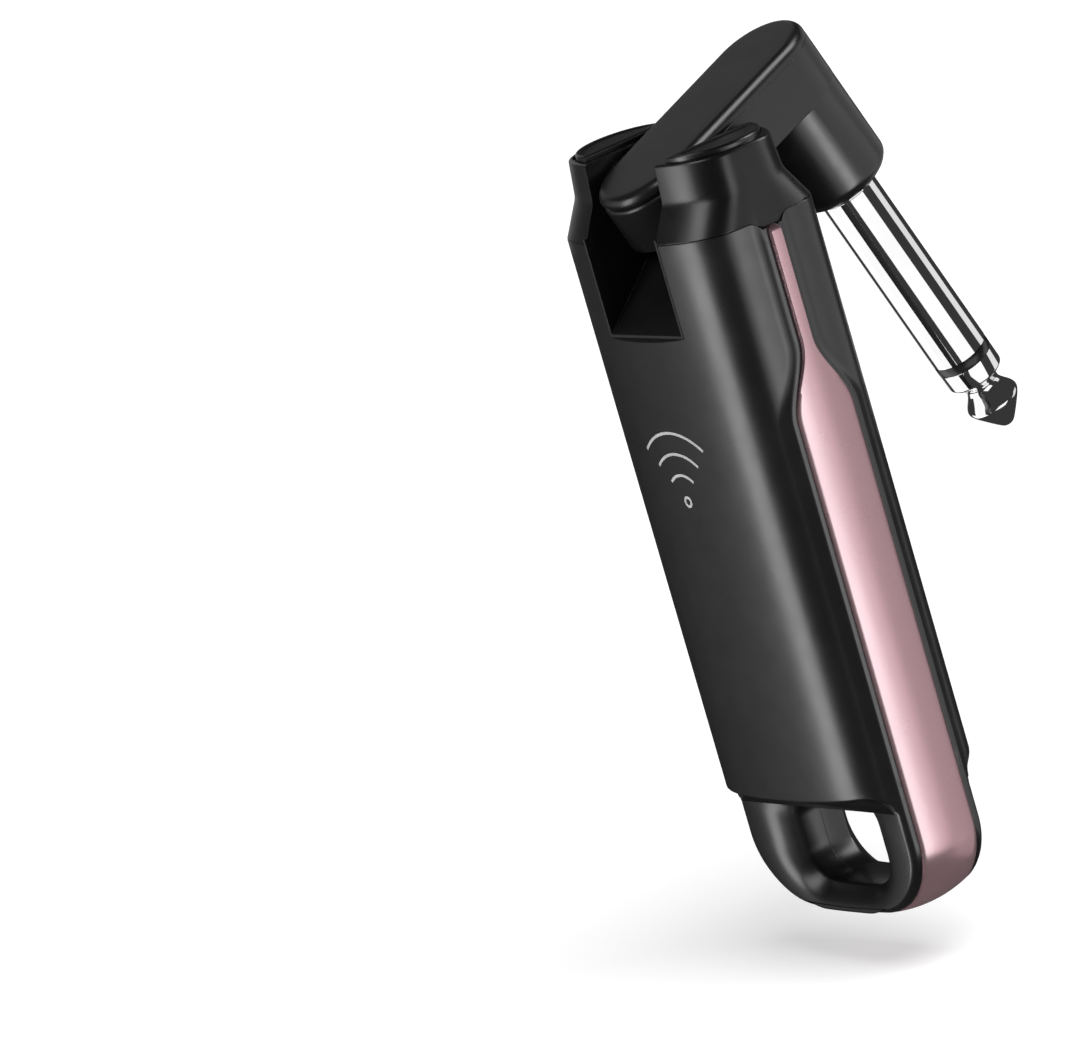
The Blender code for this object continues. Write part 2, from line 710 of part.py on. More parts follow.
def build_arm(axis):
    plan = arm_outline()
    body = prism("arm_body", plan, "z", ARM_UNDER, COVER_SEAM - 0.15, "black", axis)
    centre = (0, -ARM_REACH, 0)
    radius = ARM_HALF - 0.02
    barrel = [(0, BARREL_END), (radius - BARREL_CHAMFER, BARREL_END),
              (radius, BARREL_END + BARREL_CHAMFER), (radius, ARM_UNDER + 0.6),
              (0, ARM_UNDER + 0.6)]
    boolean(body, turned("barrel_form", barrel, "z", centre, parent=axis, sides=28), "UNION")
    boolean(body, cylinder("barrel_hollow", BARREL_HOLLOW_R, "z", centre,
                           BARREL_END + BARREL_FLOOR, COVER_SEAM + 1, parent=axis, sides=28))
    boolean(body, cylinder("shank_hole", SHANK_HOLE_R, "z", centre, BARREL_END - 1,
                           BARREL_END + BARREL_FLOOR + 1, parent=axis, sides=28))
    boolean(body, box("lead_channel", (-CHANNEL_HALF, -ARM_REACH, ARM_UNDER + CHANNEL_FLOOR),
                      (CHANNEL_HALF, CHANNEL_END_Y, COVER_SEAM + 1), parent=axis))
    boolean(body, cylinder("arm_bore", PIN_R + 0.05, "x", (0, 0, 0), -ARM_HALF - 1,
                           ARM_HALF + 1, parent=axis))
    cut_washer_seats(body, axis, "arm")


def cut_washer_seats(piece, axis, name):
    """Round recesses of the friction washers in both sides of the arm."""
    for side, word in ((1, "right"), (-1, "left")):
        inner, outer = sorted((side * SEAT_FLOOR, side * (ARM_HALF + 1)))
        seat = cylinder(f"{name}_seat_{word}", WASHER_R + 0.2, "x", (0, 0, 0), inner, outer,
                        parent=axis)
        boolean(piece, seat)


def build_arm_cover(axis):
    """The lid of the arm, with a rounded upper edge."""
    loops = []
    for inset, z in ((0.0, COVER_SEAM + 0.15), (0.0, ARM_TOP - 0.8), (0.25, ARM_TOP - 0.3),
                     (0.8, ARM_TOP)):
        loops.append([(x, y, z) for x, y in arm_outline(-inset)])
    cover = loft("arm_cover", loops, "black", axis)
    cut_washer_seats(cover, axis, "cover")


# ---------------------------------------------------------------- plug

def build_plug(axis):
    centre = (0, -ARM_REACH, 0)
    low = RING_Z - RING_HEIGHT
    flange_low = FLANGE_TOP - FLANGE_THICK
    sleeve = [(SLEEVE_BORE, RING_Z + GAP), (SLEEVE_R, RING_Z + GAP), (SLEEVE_R, flange_low),
              (FLANGE_R, flange_low), (FLANGE_R, FLANGE_TOP), (SHANK_R, FLANGE_TOP),
              (SHANK_R, SHANK_TOP), (SLEEVE_BORE, SHANK_TOP)]
    turned("plug_sleeve", sleeve, "z", centre, "chrome", axis)
    tube("plug_insulator_ring", SLEEVE_BORE, SLEEVE_R, "z", centre, low, RING_Z, "black", axis)
    tube("plug_insulator_tube", ROD_R + 0.1, SLEEVE_BORE - 0.1, "z", centre, RING_Z + 0.1,
         SHANK_TOP + 0.6, "black", axis)
    turned("plug_tip", tip_profile(low - THIN_GAP, SHANK_TOP + 2.2), "z", centre, "chrome",
           axis)
    corners = [(x, y - ARM_REACH) for x, y in arc(0, 0, NUT_ACROSS, 0, 300, 5)]
    floor = BARREL_END + BARREL_FLOOR
    nut = prism("plug_nut", corners, "z", floor + 0.1, floor + 2.1, "steel", axis)
    boolean(nut, cylinder("nut_bore", NUT_BORE, "z", centre, floor - 2, floor + 4,
                          parent=axis))
    build_lugs(axis)


def tip_profile(collar_top, rod_top):
    """The tip from its end up: cone, bulb, waist, collar, and the rod to its lug."""
    end = TIP_END_Z
    bulb = end + 3.3
    profile = [(0, end), (0.55, end), (0.95, end + 0.3)]
    profile += [(0.95 + 1.95 * s, end + 0.3 + 2.5 * s) for s in (0.33, 0.66, 1.0)]
    profile += [(2.95, bulb), (2.82, bulb + 0.4)]
    profile += [(2.42, bulb + 1.0), (1.98, bulb + 1.7), (1.92, bulb + 2.2),
                (2.1, bulb + 2.6), (2.55, bulb + 3.1)]
    profile += [(3.0, bulb + 3.5), (3.1, bulb + 3.7), (3.1, collar_top)]
    profile += [(ROD_R, collar_top), (ROD_R, rod_top), (0, rod_top)]
    return profile


def build_lugs(axis):
    """Solder tags of the plug: one on its rod and one under its nut."""
    centre = (0, -ARM_REACH, 0)
    tip_lug = SHANK_TOP + 1.0
    sleeve_lug = BARREL_END + BARREL_FLOOR + 2.25
    tube("tip_lug", ROD_R + 0.1, 1.9, "z", centre, tip_lug, tip_lug + 0.5, "brass", axis,
         sides=24)
    tube("sleeve_lug", NUT_BORE, 3.9, "z", centre, sleeve_lug, sleeve_lug + 0.45, "brass",
         axis)
    leads = (("tip_lead", "white_plastic", 1.0, tip_lug + 1.0),
             ("sleeve_lead", "black", -1.0, sleeve_lug + 0.95))
    for name, finish, side, start in leads:
        x = side * 3.0
        route = [(x * 0.95, -ARM_REACH + side * 1.2, start), (x, -ARM_REACH + 0.8, start + 1.2),
                 (x, -ARM_REACH + 1.4, start + 3.0), (x * 0.7, -ARM_REACH + 2.4, -1.4),
                 (x * 0.5, -ARM_REACH + 4.4, -0.8), (x * 0.45, -9.0, -0.7),
                 (x * 0.45, -6.2, -0.7), (x * 0.45, -3.9, -0.7)]
        wire(name, route, LEAD_R, finish, axis)


# ---------------------------------------------------------------- button and lights

def build_button():
    anchor = bpy.data.objects.new("button_axis", None)
    anchor.location = Vector((0, BUTTON_FACE_Y, BUTTON_Z)) * MM
    bpy.context.scene.collection.objects.link(anchor)
    cap = [(0, 0), (BUTTON_R - BUTTON_EDGE, 0), (BUTTON_R, BUTTON_EDGE),
           (BUTTON_R, BUTTON_THICK), (STEM_R, BUTTON_THICK), (STEM_R, STEM_END),
           (0, STEM_END)]
    turned("power_button", cap, "y", (0, 0, 0), "black", anchor)
    front, back = FLANGE_Y
    ring = [(LIGHT_RING_IN, BUTTON_FACE_Y), (LIGHT_RING_OUT, BUTTON_FACE_Y),
            (LIGHT_RING_OUT, front), (FLANGE_OUT, front), (FLANGE_OUT, back),
            (LIGHT_RING_IN, back)]
    turned("button_light_ring", ring, "y", (0, 0, BUTTON_Z), "green_light")
    low = BUTTON_FACE_Y + STEM_END + BUTTON_TRAVEL + 0.05
    box("button_switch", (-SWITCH_HALF, low, BUTTON_Z - SWITCH_HALF),
        (SWITCH_HALF, BOARD_FRONT_Y - 0.05, BUTTON_Z + SWITCH_HALF), "steel")


def build_light_bar():
    shape = stadium(BAR_HALF, BAR_LOW_Z, BAR_HIGH_Z)
    prism("led_light_bar", shape, "x", TRIM_X - BAR_DEEP, TRIM_X - 0.05, "green_light")
    box("led_board", (LED_BOARD_X[0], -LED_BOARD_HALF, BAR_LOW_Z - 1),
        (LED_BOARD_X[1], LED_BOARD_HALF, BAR_HIGH_Z + 1), "board")


# ---------------------------------------------------------------- charging port

def port_outline(grow):
    """The mouth of the port in (y, z): two corners cut on the front side."""
    y0 = PORT_Y - PORT_SHORT / 2 - grow
    y1 = PORT_Y + PORT_SHORT / 2 + grow
    z0 = PORT_Z - PORT_LONG / 2 - grow
    z1 = PORT_Z + PORT_LONG / 2 + grow
    cut_y, cut_z = PORT_CUT
    return [(y1, z0), (y1, z1), (y0 + cut_y, z1), (y0, z1 - cut_z), (y0, z0 + cut_z),
            (y0 + cut_y, z0)]


def build_port():
    back_x = PORT_MOUTH_X - PORT_DEPTH
    shell = prism("usb_shell", port_outline(0.0), "x", back_x, PORT_MOUTH_X, "steel")
    boolean(shell, prism("usb_hollow", port_outline(-PORT_WALL), "x", back_x + PORT_BACK,
                         PORT_MOUTH_X + 1))
    inner_x = back_x + PORT_BACK + 0.15
    box("usb_tongue", (inner_x, PORT_Y + 0.05, PORT_Z - TONGUE_HALF),
        (PORT_MOUTH_X - 0.5, PORT_Y + 0.65, PORT_Z + TONGUE_HALF), "chip")
    for i in range(5):
        z = PORT_Z + (i - 2) * CONTACT_PITCH
        box(f"usb_contact_{i + 1}", (inner_x, PORT_Y - 0.2, z - CONTACT_HALF),
            (PORT_MOUTH_X - 0.75, PORT_Y - 0.02, z + CONTACT_HALF), "brass")


# ---------------------------------------------------------------- electronics

def build_board():
    plan = rounded(-BOARD_HALF, BOARD_HALF, BOARD_LOW_Z, BOARD_HIGH_Z, BOARD_CORNER)
    board = prism("main_board", plan, "y", BOARD_FRONT_Y, BOARD_BACK_Y, "board")
    head = BOARD_BACK_Y + 0.1
    for word, z in BOARD_SCREW_Z.items():
        spot = (BOARD_SCREW_X, 0, z)
        hole = cylinder(f"board_hole_{word}", BOARD_SCREW_R + 0.2, "y", spot,
                        BOARD_FRONT_Y - 1, BOARD_BACK_Y + 1, sides=24)
        boolean(board, hole)
        profile = [(0, -PANEL_Y + WALL), (BOARD_SCREW_R, -PANEL_Y + WALL),
                   (BOARD_SCREW_R, head), (BOARD_SCREW_HEAD_R, head),
                   (BOARD_SCREW_HEAD_R, head + 0.5), (BOARD_SCREW_HEAD_R - 0.3, head + 0.7),
                   (0, head + 0.7)]
        turned(f"board_screw_{word}", profile, "y", spot, "steel", sides=24)
    top = BOARD_BACK_Y + THIN_GAP
    parts = (("radio_shield", "foil", -4.6, 4.6, 55.5, 64.5, 1.6),
             ("audio_chip", "chip", -7.8, -5.2, 53.0, 55.3, 0.9),
             ("charge_chip", "chip", 5.6, 7.8, 55.5, 57.7, 0.8),
             ("antenna", "white_plastic", -8.6, -5.6, 60.0, 66.2, 1.1))
    for name, finish, x0, x1, z0, z1, thick in parts:
        box(name, (x0, top, z0), (x1, top + thick, z1), finish)


def build_battery():
    low, high = BATTERY_Z
    plan = rounded(-BATTERY_HALF, BATTERY_HALF, *BATTERY_Y, BATTERY_CORNER)
    middle = sum(BATTERY_Y) / 2
    loops = []
    for inset, z in ((BATTERY_EDGE, low), (0.0, low + BATTERY_EDGE),
                     (0.0, high - BATTERY_EDGE), (BATTERY_EDGE, high)):
        share = 1 - inset / BATTERY_HALF
        loops.append([(x * share, middle + (y - middle) * share, z) for x, y in plan])
    loft("battery_cell", loops, "foil")
    box("battery_pad", (-6.0, BATTERY_Y[1] + 0.2, 24.0), (6.0, 6.9, 47.0), "foam")
    for name, finish, x in (("battery_lead_positive", "red_wire", BATTERY_LEAD_X),
                            ("battery_lead_negative", "black", -BATTERY_LEAD_X)):
        route = [(x, 0.6, high + 0.15), (x, 0.5, high + 1.0), (x, -0.6, high + 1.9),
                 (x, -2.4, high + 2.2), (x, BOARD_BACK_Y + 0.1, high + 2.2)]
        wire(name, route, LEAD_R, finish)


# ---------------------------------------------------------------- assembly

def build():
    clear_scene()
    build_front_shell()
    build_back_shell()
    build_head()
    build_ear_fittings()
    build_trim()
    build_pin()
    hinge = bpy.data.objects.new("hinge_axis", None)
    bpy.context.scene.collection.objects.link(hinge)
    hinge.matrix_world = (Matrix.Translation(Vector((0, HINGE_Y, HINGE_Z)) * MM)
                          @ Matrix.Rotation(radians(-REST_SWING), 4, "X"))
    build_arm(hinge)
    build_arm_cover(hinge)
    build_plug(hinge)
    build_button()
    build_light_bar()
    build_port()
    build_board()
    build_battery()
    bpy.context.view_layer.update()


build()
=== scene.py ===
"""Looks of the wireless guitar transmitter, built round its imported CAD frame.

Sizes are in millimetres and become metres when a mesh is made.  +Z runs up the body,
+Y is the back panel and -X the side that faces the camera.
"""
import json
from math import asin, atan2, cos, degrees, pi, radians, sin, sqrt, tan

import bmesh
import bpy
from mathutils import Matrix, Vector

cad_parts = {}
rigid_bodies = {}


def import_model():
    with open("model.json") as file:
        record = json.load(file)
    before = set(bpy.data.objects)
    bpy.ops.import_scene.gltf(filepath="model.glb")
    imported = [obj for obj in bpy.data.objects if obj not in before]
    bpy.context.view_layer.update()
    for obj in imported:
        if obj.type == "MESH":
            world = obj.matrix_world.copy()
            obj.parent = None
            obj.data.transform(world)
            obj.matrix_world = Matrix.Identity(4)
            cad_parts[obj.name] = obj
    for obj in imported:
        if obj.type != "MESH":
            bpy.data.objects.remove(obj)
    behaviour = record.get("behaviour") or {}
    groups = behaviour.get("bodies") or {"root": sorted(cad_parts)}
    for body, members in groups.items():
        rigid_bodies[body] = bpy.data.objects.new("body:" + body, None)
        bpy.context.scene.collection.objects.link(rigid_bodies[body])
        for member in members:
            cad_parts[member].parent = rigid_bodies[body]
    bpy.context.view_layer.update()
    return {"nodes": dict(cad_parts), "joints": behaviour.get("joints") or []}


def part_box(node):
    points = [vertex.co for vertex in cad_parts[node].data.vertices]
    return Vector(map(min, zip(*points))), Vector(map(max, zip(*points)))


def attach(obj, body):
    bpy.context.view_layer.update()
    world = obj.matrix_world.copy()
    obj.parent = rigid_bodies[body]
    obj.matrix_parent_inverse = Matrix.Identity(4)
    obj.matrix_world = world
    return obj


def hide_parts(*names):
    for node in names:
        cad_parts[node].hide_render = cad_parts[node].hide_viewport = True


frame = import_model()

MM = 0.001
scene = bpy.context.scene


# -------- camera

VIEW_AZIMUTH = radians(-121.96)
VIEW_ELEVATION = radians(12.85)
VIEW_ROLL = radians(-16.4)
VIEW_FROM = Vector((-0.8361, 0.54927, 0.27667))    # metres
LENS = 333.33
SENSOR = 36.0


def build_camera():
    """A long lens on the back panel and the left side, rolled as the object leans."""
    a, e = VIEW_AZIMUTH, VIEW_ELEVATION
    back = Vector((sin(a) * cos(e), -cos(a) * cos(e), sin(e)))
    level = Vector((0, 0, 1)).cross(back).normalized()
    upright = back.cross(level)
    right = level * cos(VIEW_ROLL) + upright * sin(VIEW_ROLL)
    up = back.cross(right)
    camera = bpy.data.objects.new("camera", bpy.data.cameras.new("camera"))
    camera.data.lens = LENS
    camera.data.sensor_width = SENSOR
    camera.data.clip_start = 0.05
    camera.data.clip_end = 50
    turn = Matrix((right, up, back)).transposed().to_4x4()
    camera.matrix_world = Matrix.Translation(VIEW_FROM) @ turn
    scene.collection.objects.link(camera)
    scene.camera = camera


# -------- sizes from the frame

def span(node):
    """A CAD node's lowest and highest corner in millimetres."""
    low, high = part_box(node)
    return low / MM, high / MM


HINGE = next(j for j in frame["joints"] if j["name"] == "plug_swing")
HINGE_Y = HINGE["pos_m"][1] / MM
HINGE_Z = HINGE["pos_m"][2] / MM
REST_SWING = -HINGE["range_deg"][0]
FOLDED = (Matrix.Translation((0, HINGE_Y * MM, HINGE_Z * MM))
          @ Matrix.Rotation(radians(-REST_SWING), 4, "X"))


def arm_span(node):
    """The corners of a node of the arm, in the arm's own frame about the hinge."""
    back = FOLDED.inverted()
    spots = [back @ v.co / MM for v in frame["nodes"][node].data.vertices]
    low = Vector([min(p[i] for p in spots) for i in range(3)])
    high = Vector([max(p[i] for p in spots) for i in range(3)])
    return low, high


TRIM_X = span("trim_band")[1].x
TRIM_TOP_Z = span("trim_band")[1].z
TRIM_HALF_WIDE = span("trim_band")[1].y
SHELL_TOP_Z = span("back_shell")[1].z
EAR_TOP_Z = span("hinge_head")[1].z
ARM_HALF = arm_span("arm_body")[1].x
ARM_REACH = -arm_span("arm_body")[0].y - ARM_HALF
ARM_TOP = arm_span("arm_cover")[1].z
COVER_SEAM = arm_span("arm_cover")[0].z
BARREL_END = arm_span("arm_body")[0].z
SLEEVE_R = arm_span("plug_insulator_ring")[1].x
RING_LOW, RING_HIGH = (corner.z for corner in arm_span("plug_insulator_ring"))
TIP_END = arm_span("plug_tip")[0].z
BUTTON_R = span("power_button")[1].x
BUTTON_Z = (span("power_button")[0].z + span("power_button")[1].z) / 2
BAR_LOW, BAR_HIGH = span("led_light_bar")
BAR_MIDDLE = (BAR_HIGH.y + BAR_LOW.y) / 2
BAR_HALF = (BAR_HIGH.y - BAR_LOW.y) / 2
PORT_LOW, PORT_HIGH = span("usb_shell")

# forms shared with the CAD
PANEL_Y = 9.28
WIDE_POWER = 2.26
BODY = (14.0, PANEL_Y, 4.77)     # half width, half depth and power of the rounded oblong
EAR_LOW = (13.7, 7.05, 3.6)      # of both ears together, at the crease
EAR_HIGH = (13.4, 6.75, 3.4)     # and at their tops
RIDGE_X = TRIM_X - 0.55
TRIM_HALF_NARROW = 0.68
TRIM_CROWN = 0.42
TRIM_THICK = 1.3
FLARE_HIGH_Z = 62.2        # the trim widens between these two heights
FLARE_LOW_Z = 54.2
FLARE_STEPS = 26
FLARE_MARGIN = 0.6         # how far its sections start above and end below it
CORNER_R = 8.6
BOTTOM_SAG = 0.9
CREASE_Z = 79.0
PANEL_FOOT_Z = 14.9
UNDERSIDE_Z = 14.25
UNDERSIDE_INSET = 1.5
LOOP_Y = 4.8
SLOT_HALF = 6.2
TUB_HALF = 6.5
RAMP_FOOT_Z = 65.31
RAMP_ANGLE = radians(41.0)
TAIL_Y = 1.35
ARM_UNDER = -3.35
HAIR = 0.03                # gap left between two pieces that touch


# -------- mesh helpers

def make(name, points, faces, sharp=30, place=None):
    """A closed mesh from points in millimetres, its faces turned outward."""
    mesh = bpy.data.meshes.new(name)
    mesh.from_pydata([Vector(p) * MM for p in points], [], faces)
    shape = bmesh.new()
    shape.from_mesh(mesh)
    bmesh.ops.recalc_face_normals(shape, faces=shape.faces)
    shape.to_mesh(mesh)
    shape.free()
    if place is not None:
        mesh.transform(place)
    mesh.shade_smooth()
    mesh.set_sharp_from_angle(angle=radians(sharp))
    made = bpy.data.objects.new(name, mesh)
    scene.collection.objects.link(made)
    return made


def strip_faces(rows, count, closed_rows=False):
    """The quads between neighbouring rows of points, each row closed in itself."""
    faces = []
    for row in range(rows if closed_rows else rows - 1):
        other = (row + 1) % rows
        for i in range(count):
            j = (i + 1) % count
            faces.append((row * count + i, row * count + j,
                          other * count + j, other * count + i))
    return faces


def loft(name, loops, sharp=30, place=None, ring=False):
    """A skin over loops of equal length: capped at both ends, or joined into a ring."""
    count = len(loops[0])
    points = [p for loop in loops for p in loop]
    faces = strip_faces(len(loops), count, ring)
    if not ring:
        faces.append(tuple(reversed(range(count))))
        faces.append(tuple(range((len(loops) - 1) * count, len(loops) * count)))
    return make(name, points, faces, sharp, place)


AXES = {
    "x": lambda u, v, w: (w, u, v),
    "y": lambda u, v, w: (u, w, v),
    "z": lambda u, v, w: (u, v, w),
}


def prism(name, outline, axis, low, high, place=None):
    """A flat outline drawn out along an axis."""
    turn = AXES[axis]
    return loft(name, [[turn(u, v, w) for u, v in outline] for w in (low, high)],
                place=place)


def turned(name, profile, axis, centre, sides=96, place=None, sharp=30):
    """A profile of (radius, place) turned about an axis; one off the axis leaves a bore."""
    turn = AXES[axis]
    bored = profile[0][0] > 0
    rims = profile if bored else profile[1:-1]
    loops = []
    for radius, along in rims:
        ring = []
        for step in range(sides):
            angle = 2 * pi * step / sides
            u, v, w = turn(radius * cos(angle), radius * sin(angle), along)
            ring.append((u + centre[0], v + centre[1], w + centre[2]))
        loops.append(ring)
    return loft(name, loops, sharp, place, ring=bored)


def rod(radius, low, high):
    """The turned profile of a plain round bar."""
    return [(0, low), (radius, low), (radius, high), (0, high)]


def boolean(target, tool, operation="DIFFERENCE"):
    """Cuts a piece by a tool, or joins the two, once settle() is called."""
    step = target.modifiers.new(tool.name, "BOOLEAN")
    step.operation = operation
    step.solver = "MANIFOLD"
    step.object = tool
    tool.hide_render = True


def settle(piece, sharp=30):
    """Bakes a piece's modifiers into its mesh and clears its cutters away."""
    tools = [m.object for m in piece.modifiers if m.type == "BOOLEAN"]
    view = bpy.context.evaluated_depsgraph_get()
    mesh = bpy.data.meshes.new_from_object(piece.evaluated_get(view))
    piece.modifiers.clear()
    piece.data = mesh
    mesh.shade_smooth()
    mesh.set_sharp_from_angle(angle=radians(sharp))
    for tool in tools:
        bpy.data.objects.remove(tool)
    return piece


# -------- outlines

def arc(u, v, radius, start, end, steps):
    """Points round a centre, between two angles in degrees."""
    turns = [radians(start + (end - start) * i / steps) for i in range(steps + 1)]
    return [(u + radius * cos(t), v + radius * sin(t)) for t in turns]


def stadium(half_width, low, high, steps=16):
    """An upright outline with two round ends."""
    return (arc(0, high - half_width, half_width, 0, 180, steps)
            + arc(0, low + half_width, half_width, 180, 360, steps))


def clamped(share):
    return min(1.0, max(0.0, share))


def eased(share):
    """A share that starts and ends softly."""
    share = clamped(share)
    return share * share * (3 - 2 * share)


def trim_half(z):
    """Half the trim's width at a height."""
    share = (FLARE_HIGH_Z - z) / (FLARE_HIGH_Z - FLARE_LOW_Z)
    return TRIM_HALF_NARROW + (TRIM_HALF_WIDE - TRIM_HALF_NARROW) * eased(share)


def oblong_x(y, form):
    """How far a rounded oblong reaches sideways at a given y."""
    half, depth, power = form
    return half * (1 - (abs(y) / depth) ** power) ** (1 / WIDE_POWER)


def oblong_y(x, form=BODY):
    """How far it reaches toward the panel at a given x."""
    half, depth, power = form
    return depth * (1 - (abs(x) / half) ** WIDE_POWER) ** (1 / power)


NOSE_STEPS = 44
RIDGE_STEPS = 10
RIDGE_FOOT = 1.9           # the ridge beside the trim: where it rises, past the trim's edge
RIDGE_CREST = 0.6          # and where it is full
RIDGE_NICK = 0.03          # how far its corner lies back
INSET_FROM_Y = 4.7         # a section's inset sets in here, toward the panels
INSET_RUN = 1.1            # and is full after this
FOOT_CURL_R = 2.0          # the curl of the panel's lower edge beside the loop
FOOT_CURL_INSET = 0.25


def quarter(form, rib, ridge):
    """A quarter of a cross-section, from the middle of a panel to the ridge's edge.

    Each point comes with its share of the ridge, 0 on the plain nose and 1 on the crest.
    """
    foot = rib + RIDGE_FOOT
    crest = rib + RIDGE_CREST
    last = asin((foot / form[1]) ** (form[2] / 2))
    points = []
    for step in range(1, NOSE_STEPS + 1):
        turn = pi / 2 + (last - pi / 2) * step / NOSE_STEPS
        y = form[1] * sin(turn) ** (2 / form[2])
        points.append((oblong_x(y, form), y, 0.0))
    for step in range(1, RIDGE_STEPS + 1):
        share = step / RIDGE_STEPS
        y = foot + (crest - foot) * share
        plain = oblong_x(y, form)
        raised = plain + (max(ridge, plain) - plain) * share ** 2
        points.append((raised - RIDGE_NICK * (share == 1 and ridge > plain), y, share))
    for y in (crest - 0.12, crest * 0.6, crest * 0.2):
        points.append((max(ridge, oblong_x(y, form)), y, 1.0))
    return points


def section(z, form, rib, ridge, inset=0.0, dip=0.0, drop=0.0):
    """A closed cross-section at a height, which may dip at the ridge or be inset."""
    corner = []
    for x, y, share in quarter(form, rib, ridge):
        lean_x = (x / form[0]) ** (WIDE_POWER - 1) * WIDE_POWER / form[0]
        lean_y = (y / form[1]) ** (form[2] - 1) * form[2] / form[1]
        step = inset * clamped((y - INSET_FROM_Y) / INSET_RUN) / sqrt(lean_x ** 2 + lean_y ** 2)
        height = z - dip * share ** 2 - drop * foot_drop(x)
        corner.append((x - lean_x * step, y - lean_y * step, height))
    right = corner + [(x, -y, h) for x, y, h in reversed(corner)]
    return right + [(-x, y, h) for x, y, h in reversed(right)]


def foot_drop(x):
    """How the panel's lower edge curls down beside the loop."""
    start = BODY[0] - FOOT_CURL_INSET - FOOT_CURL_R
    over = clamped((abs(x) - start) / FOOT_CURL_R)
    return FOOT_CURL_R * (1 - sqrt(1 - over * over))


def outline(half, low, high, r_low, r_high, sag, corner=20, floor=15):
    """A closed upright outline in (x, z): round corners and a bowed foot."""
    points = arc(half - r_high, high - r_high, r_high, 90, 0, corner)
    points += arc(half - r_low, low + r_low, r_low, 0, -90, corner)
    foot = [((half - r_low) * (1 - 2 * i / floor), low) for i in range(1, floor)]
    closed = points + foot + [(-x, z) for x, z in reversed(points)]
    return [(x, bowed(x, z, half, low, r_low, sag)) for x, z in closed]


def bowed(x, z, half, low, radius, sag):
    """A height near the foot, raised toward the sides by the foot's sag."""
    share = max(0.0, 1 - (z - low) / radius)
    return z + sag * share * (x / half) ** 2


# -------- trim

def trim_route():
    """The trim's course in (x, z), from its right end round under the loop to its left."""
    heights = [TRIM_TOP_Z, TRIM_TOP_Z - 0.35, TRIM_TOP_Z - 0.7, 72.0, 70.0, 68.0, 66.0]
    fall = FLARE_LOW_Z - FLARE_HIGH_Z - 2 * FLARE_MARGIN
    heights += [FLARE_HIGH_Z + FLARE_MARGIN + fall * i / FLARE_STEPS
                for i in range(FLARE_STEPS + 1)]
    heights += [46.0, 38.0, 30.0, 22.0, 15.0, 10.5]
    side = [(TRIM_X, z) for z in heights]
    corner = arc(TRIM_X - CORNER_R, CORNER_R, CORNER_R, 0, -90, 26)
    steps = 17
    foot = [((TRIM_X - CORNER_R) * (1 - 2 * i / steps), 0.0) for i in range(1, steps)]
    right = side + corner
    whole = right + foot + [(-x, z) for x, z in reversed(right)]
    return [(x, bowed(x, z, TRIM_X, 0.0, CORNER_R, BOTTOM_SAG)) for x, z in whole]


def crown_profile(half, lift, sink, square):
    """The trim's cross-section as (y, distance out), crowned and with rounded edges."""
    if square:
        return [(-half, lift), (half, lift), (half, -sink), (-half, -sink)]
    steps = 12
    edge_in, edge_down = 0.06, 0.09
    top = []
    for i in range(steps + 1):
        y = half * (2 * i / steps - 1)
        top.append((y * (half - edge_in) / half,
                    lift - TRIM_CROWN * (y / TRIM_HALF_WIDE) ** 2))
    edge = top[-1][1] - edge_down
    return [(-half, edge)] + top + [(half, edge), (half, -sink), (-half, -sink)]


# sections from the band's end: (narrower, lower), which rounds the end off
END_ROUNDING = {0: (0.26, 0.5), 1: (0.05, 0.08)}


def band(name, grow, lift, sink, square=False):
    """The U of the trim: grown sideways, lifted outward and sunk inward."""
    route = trim_route()
    loops = []
    for i, (x, z) in enumerate(route):
        before = route[max(0, i - 1)]
        after = route[min(len(route) - 1, i + 1)]
        run = Vector((after[0] - before[0], after[1] - before[1])).normalized()
        normal = Vector((-run.y, run.x))
        if normal.dot(Vector((x, min(0.0, z - CORNER_R)))) < 0:
            normal = -normal
        end = min(i, len(route) - 1 - i)
        narrower, lower = (0.0, 0.0) if square else END_ROUNDING.get(end, (0.0, 0.0))
        half = trim_half(z) + grow - narrower
        if square and end == 0:
            z += grow
        loops.append([(x + normal.x * out, y, z + normal.y * out)
                      for y, out in crown_profile(half, lift - lower, sink, square)])
    return loft(name, loops, 50)


def build_trim():
    """The trim with the light bar's slot."""
    trim = band("side_trim", 0.0, 0.0, TRIM_THICK)
    room = 0.12
    half = BAR_HALF + room
    slot = [(y + BAR_MIDDLE, z) for y, z in stadium(half, BAR_LOW.z - room, BAR_HIGH.z + room)]
    boolean(trim, prism("bar_slot", slot, "x", TRIM_X - 4, TRIM_X + 2))
    return settle(trim, 50)


# -------- clevis head

def pocket_radius():
    """The circle that the tail's upper corner, itself rounded, sweeps about the hinge."""
    corner = 0.35
    return sqrt((TAIL_Y + ARM_HALF - corner) ** 2 + (ARM_TOP - corner) ** 2) + corner


def floor_line(offset):
    """The slot floor in (y, z): a pocket round the tail, then the ramp to the back."""
    radius = pocket_radius() + offset
    start = 180 - degrees(asin((SHELL_TOP_Z - HINGE_Z) / radius))
    run = Vector((-cos(RAMP_ANGLE), sin(RAMP_ANGLE)))
    base = Vector((PANEL_Y, RAMP_FOOT_Z)) + Vector((-run.y, run.x)) * offset
    to_hinge = Vector((HINGE_Y, HINGE_Z)) - base
    along = to_hinge.dot(run)
    across = (to_hinge - run * along).length
    meet = base + run * (along - sqrt(radius ** 2 - across ** 2))
    end = degrees(atan2(meet.y - HINGE_Z, meet.x - HINGE_Y)) % 360
    return arc(HINGE_Y, HINGE_Z, radius, start, end, 40), base, run


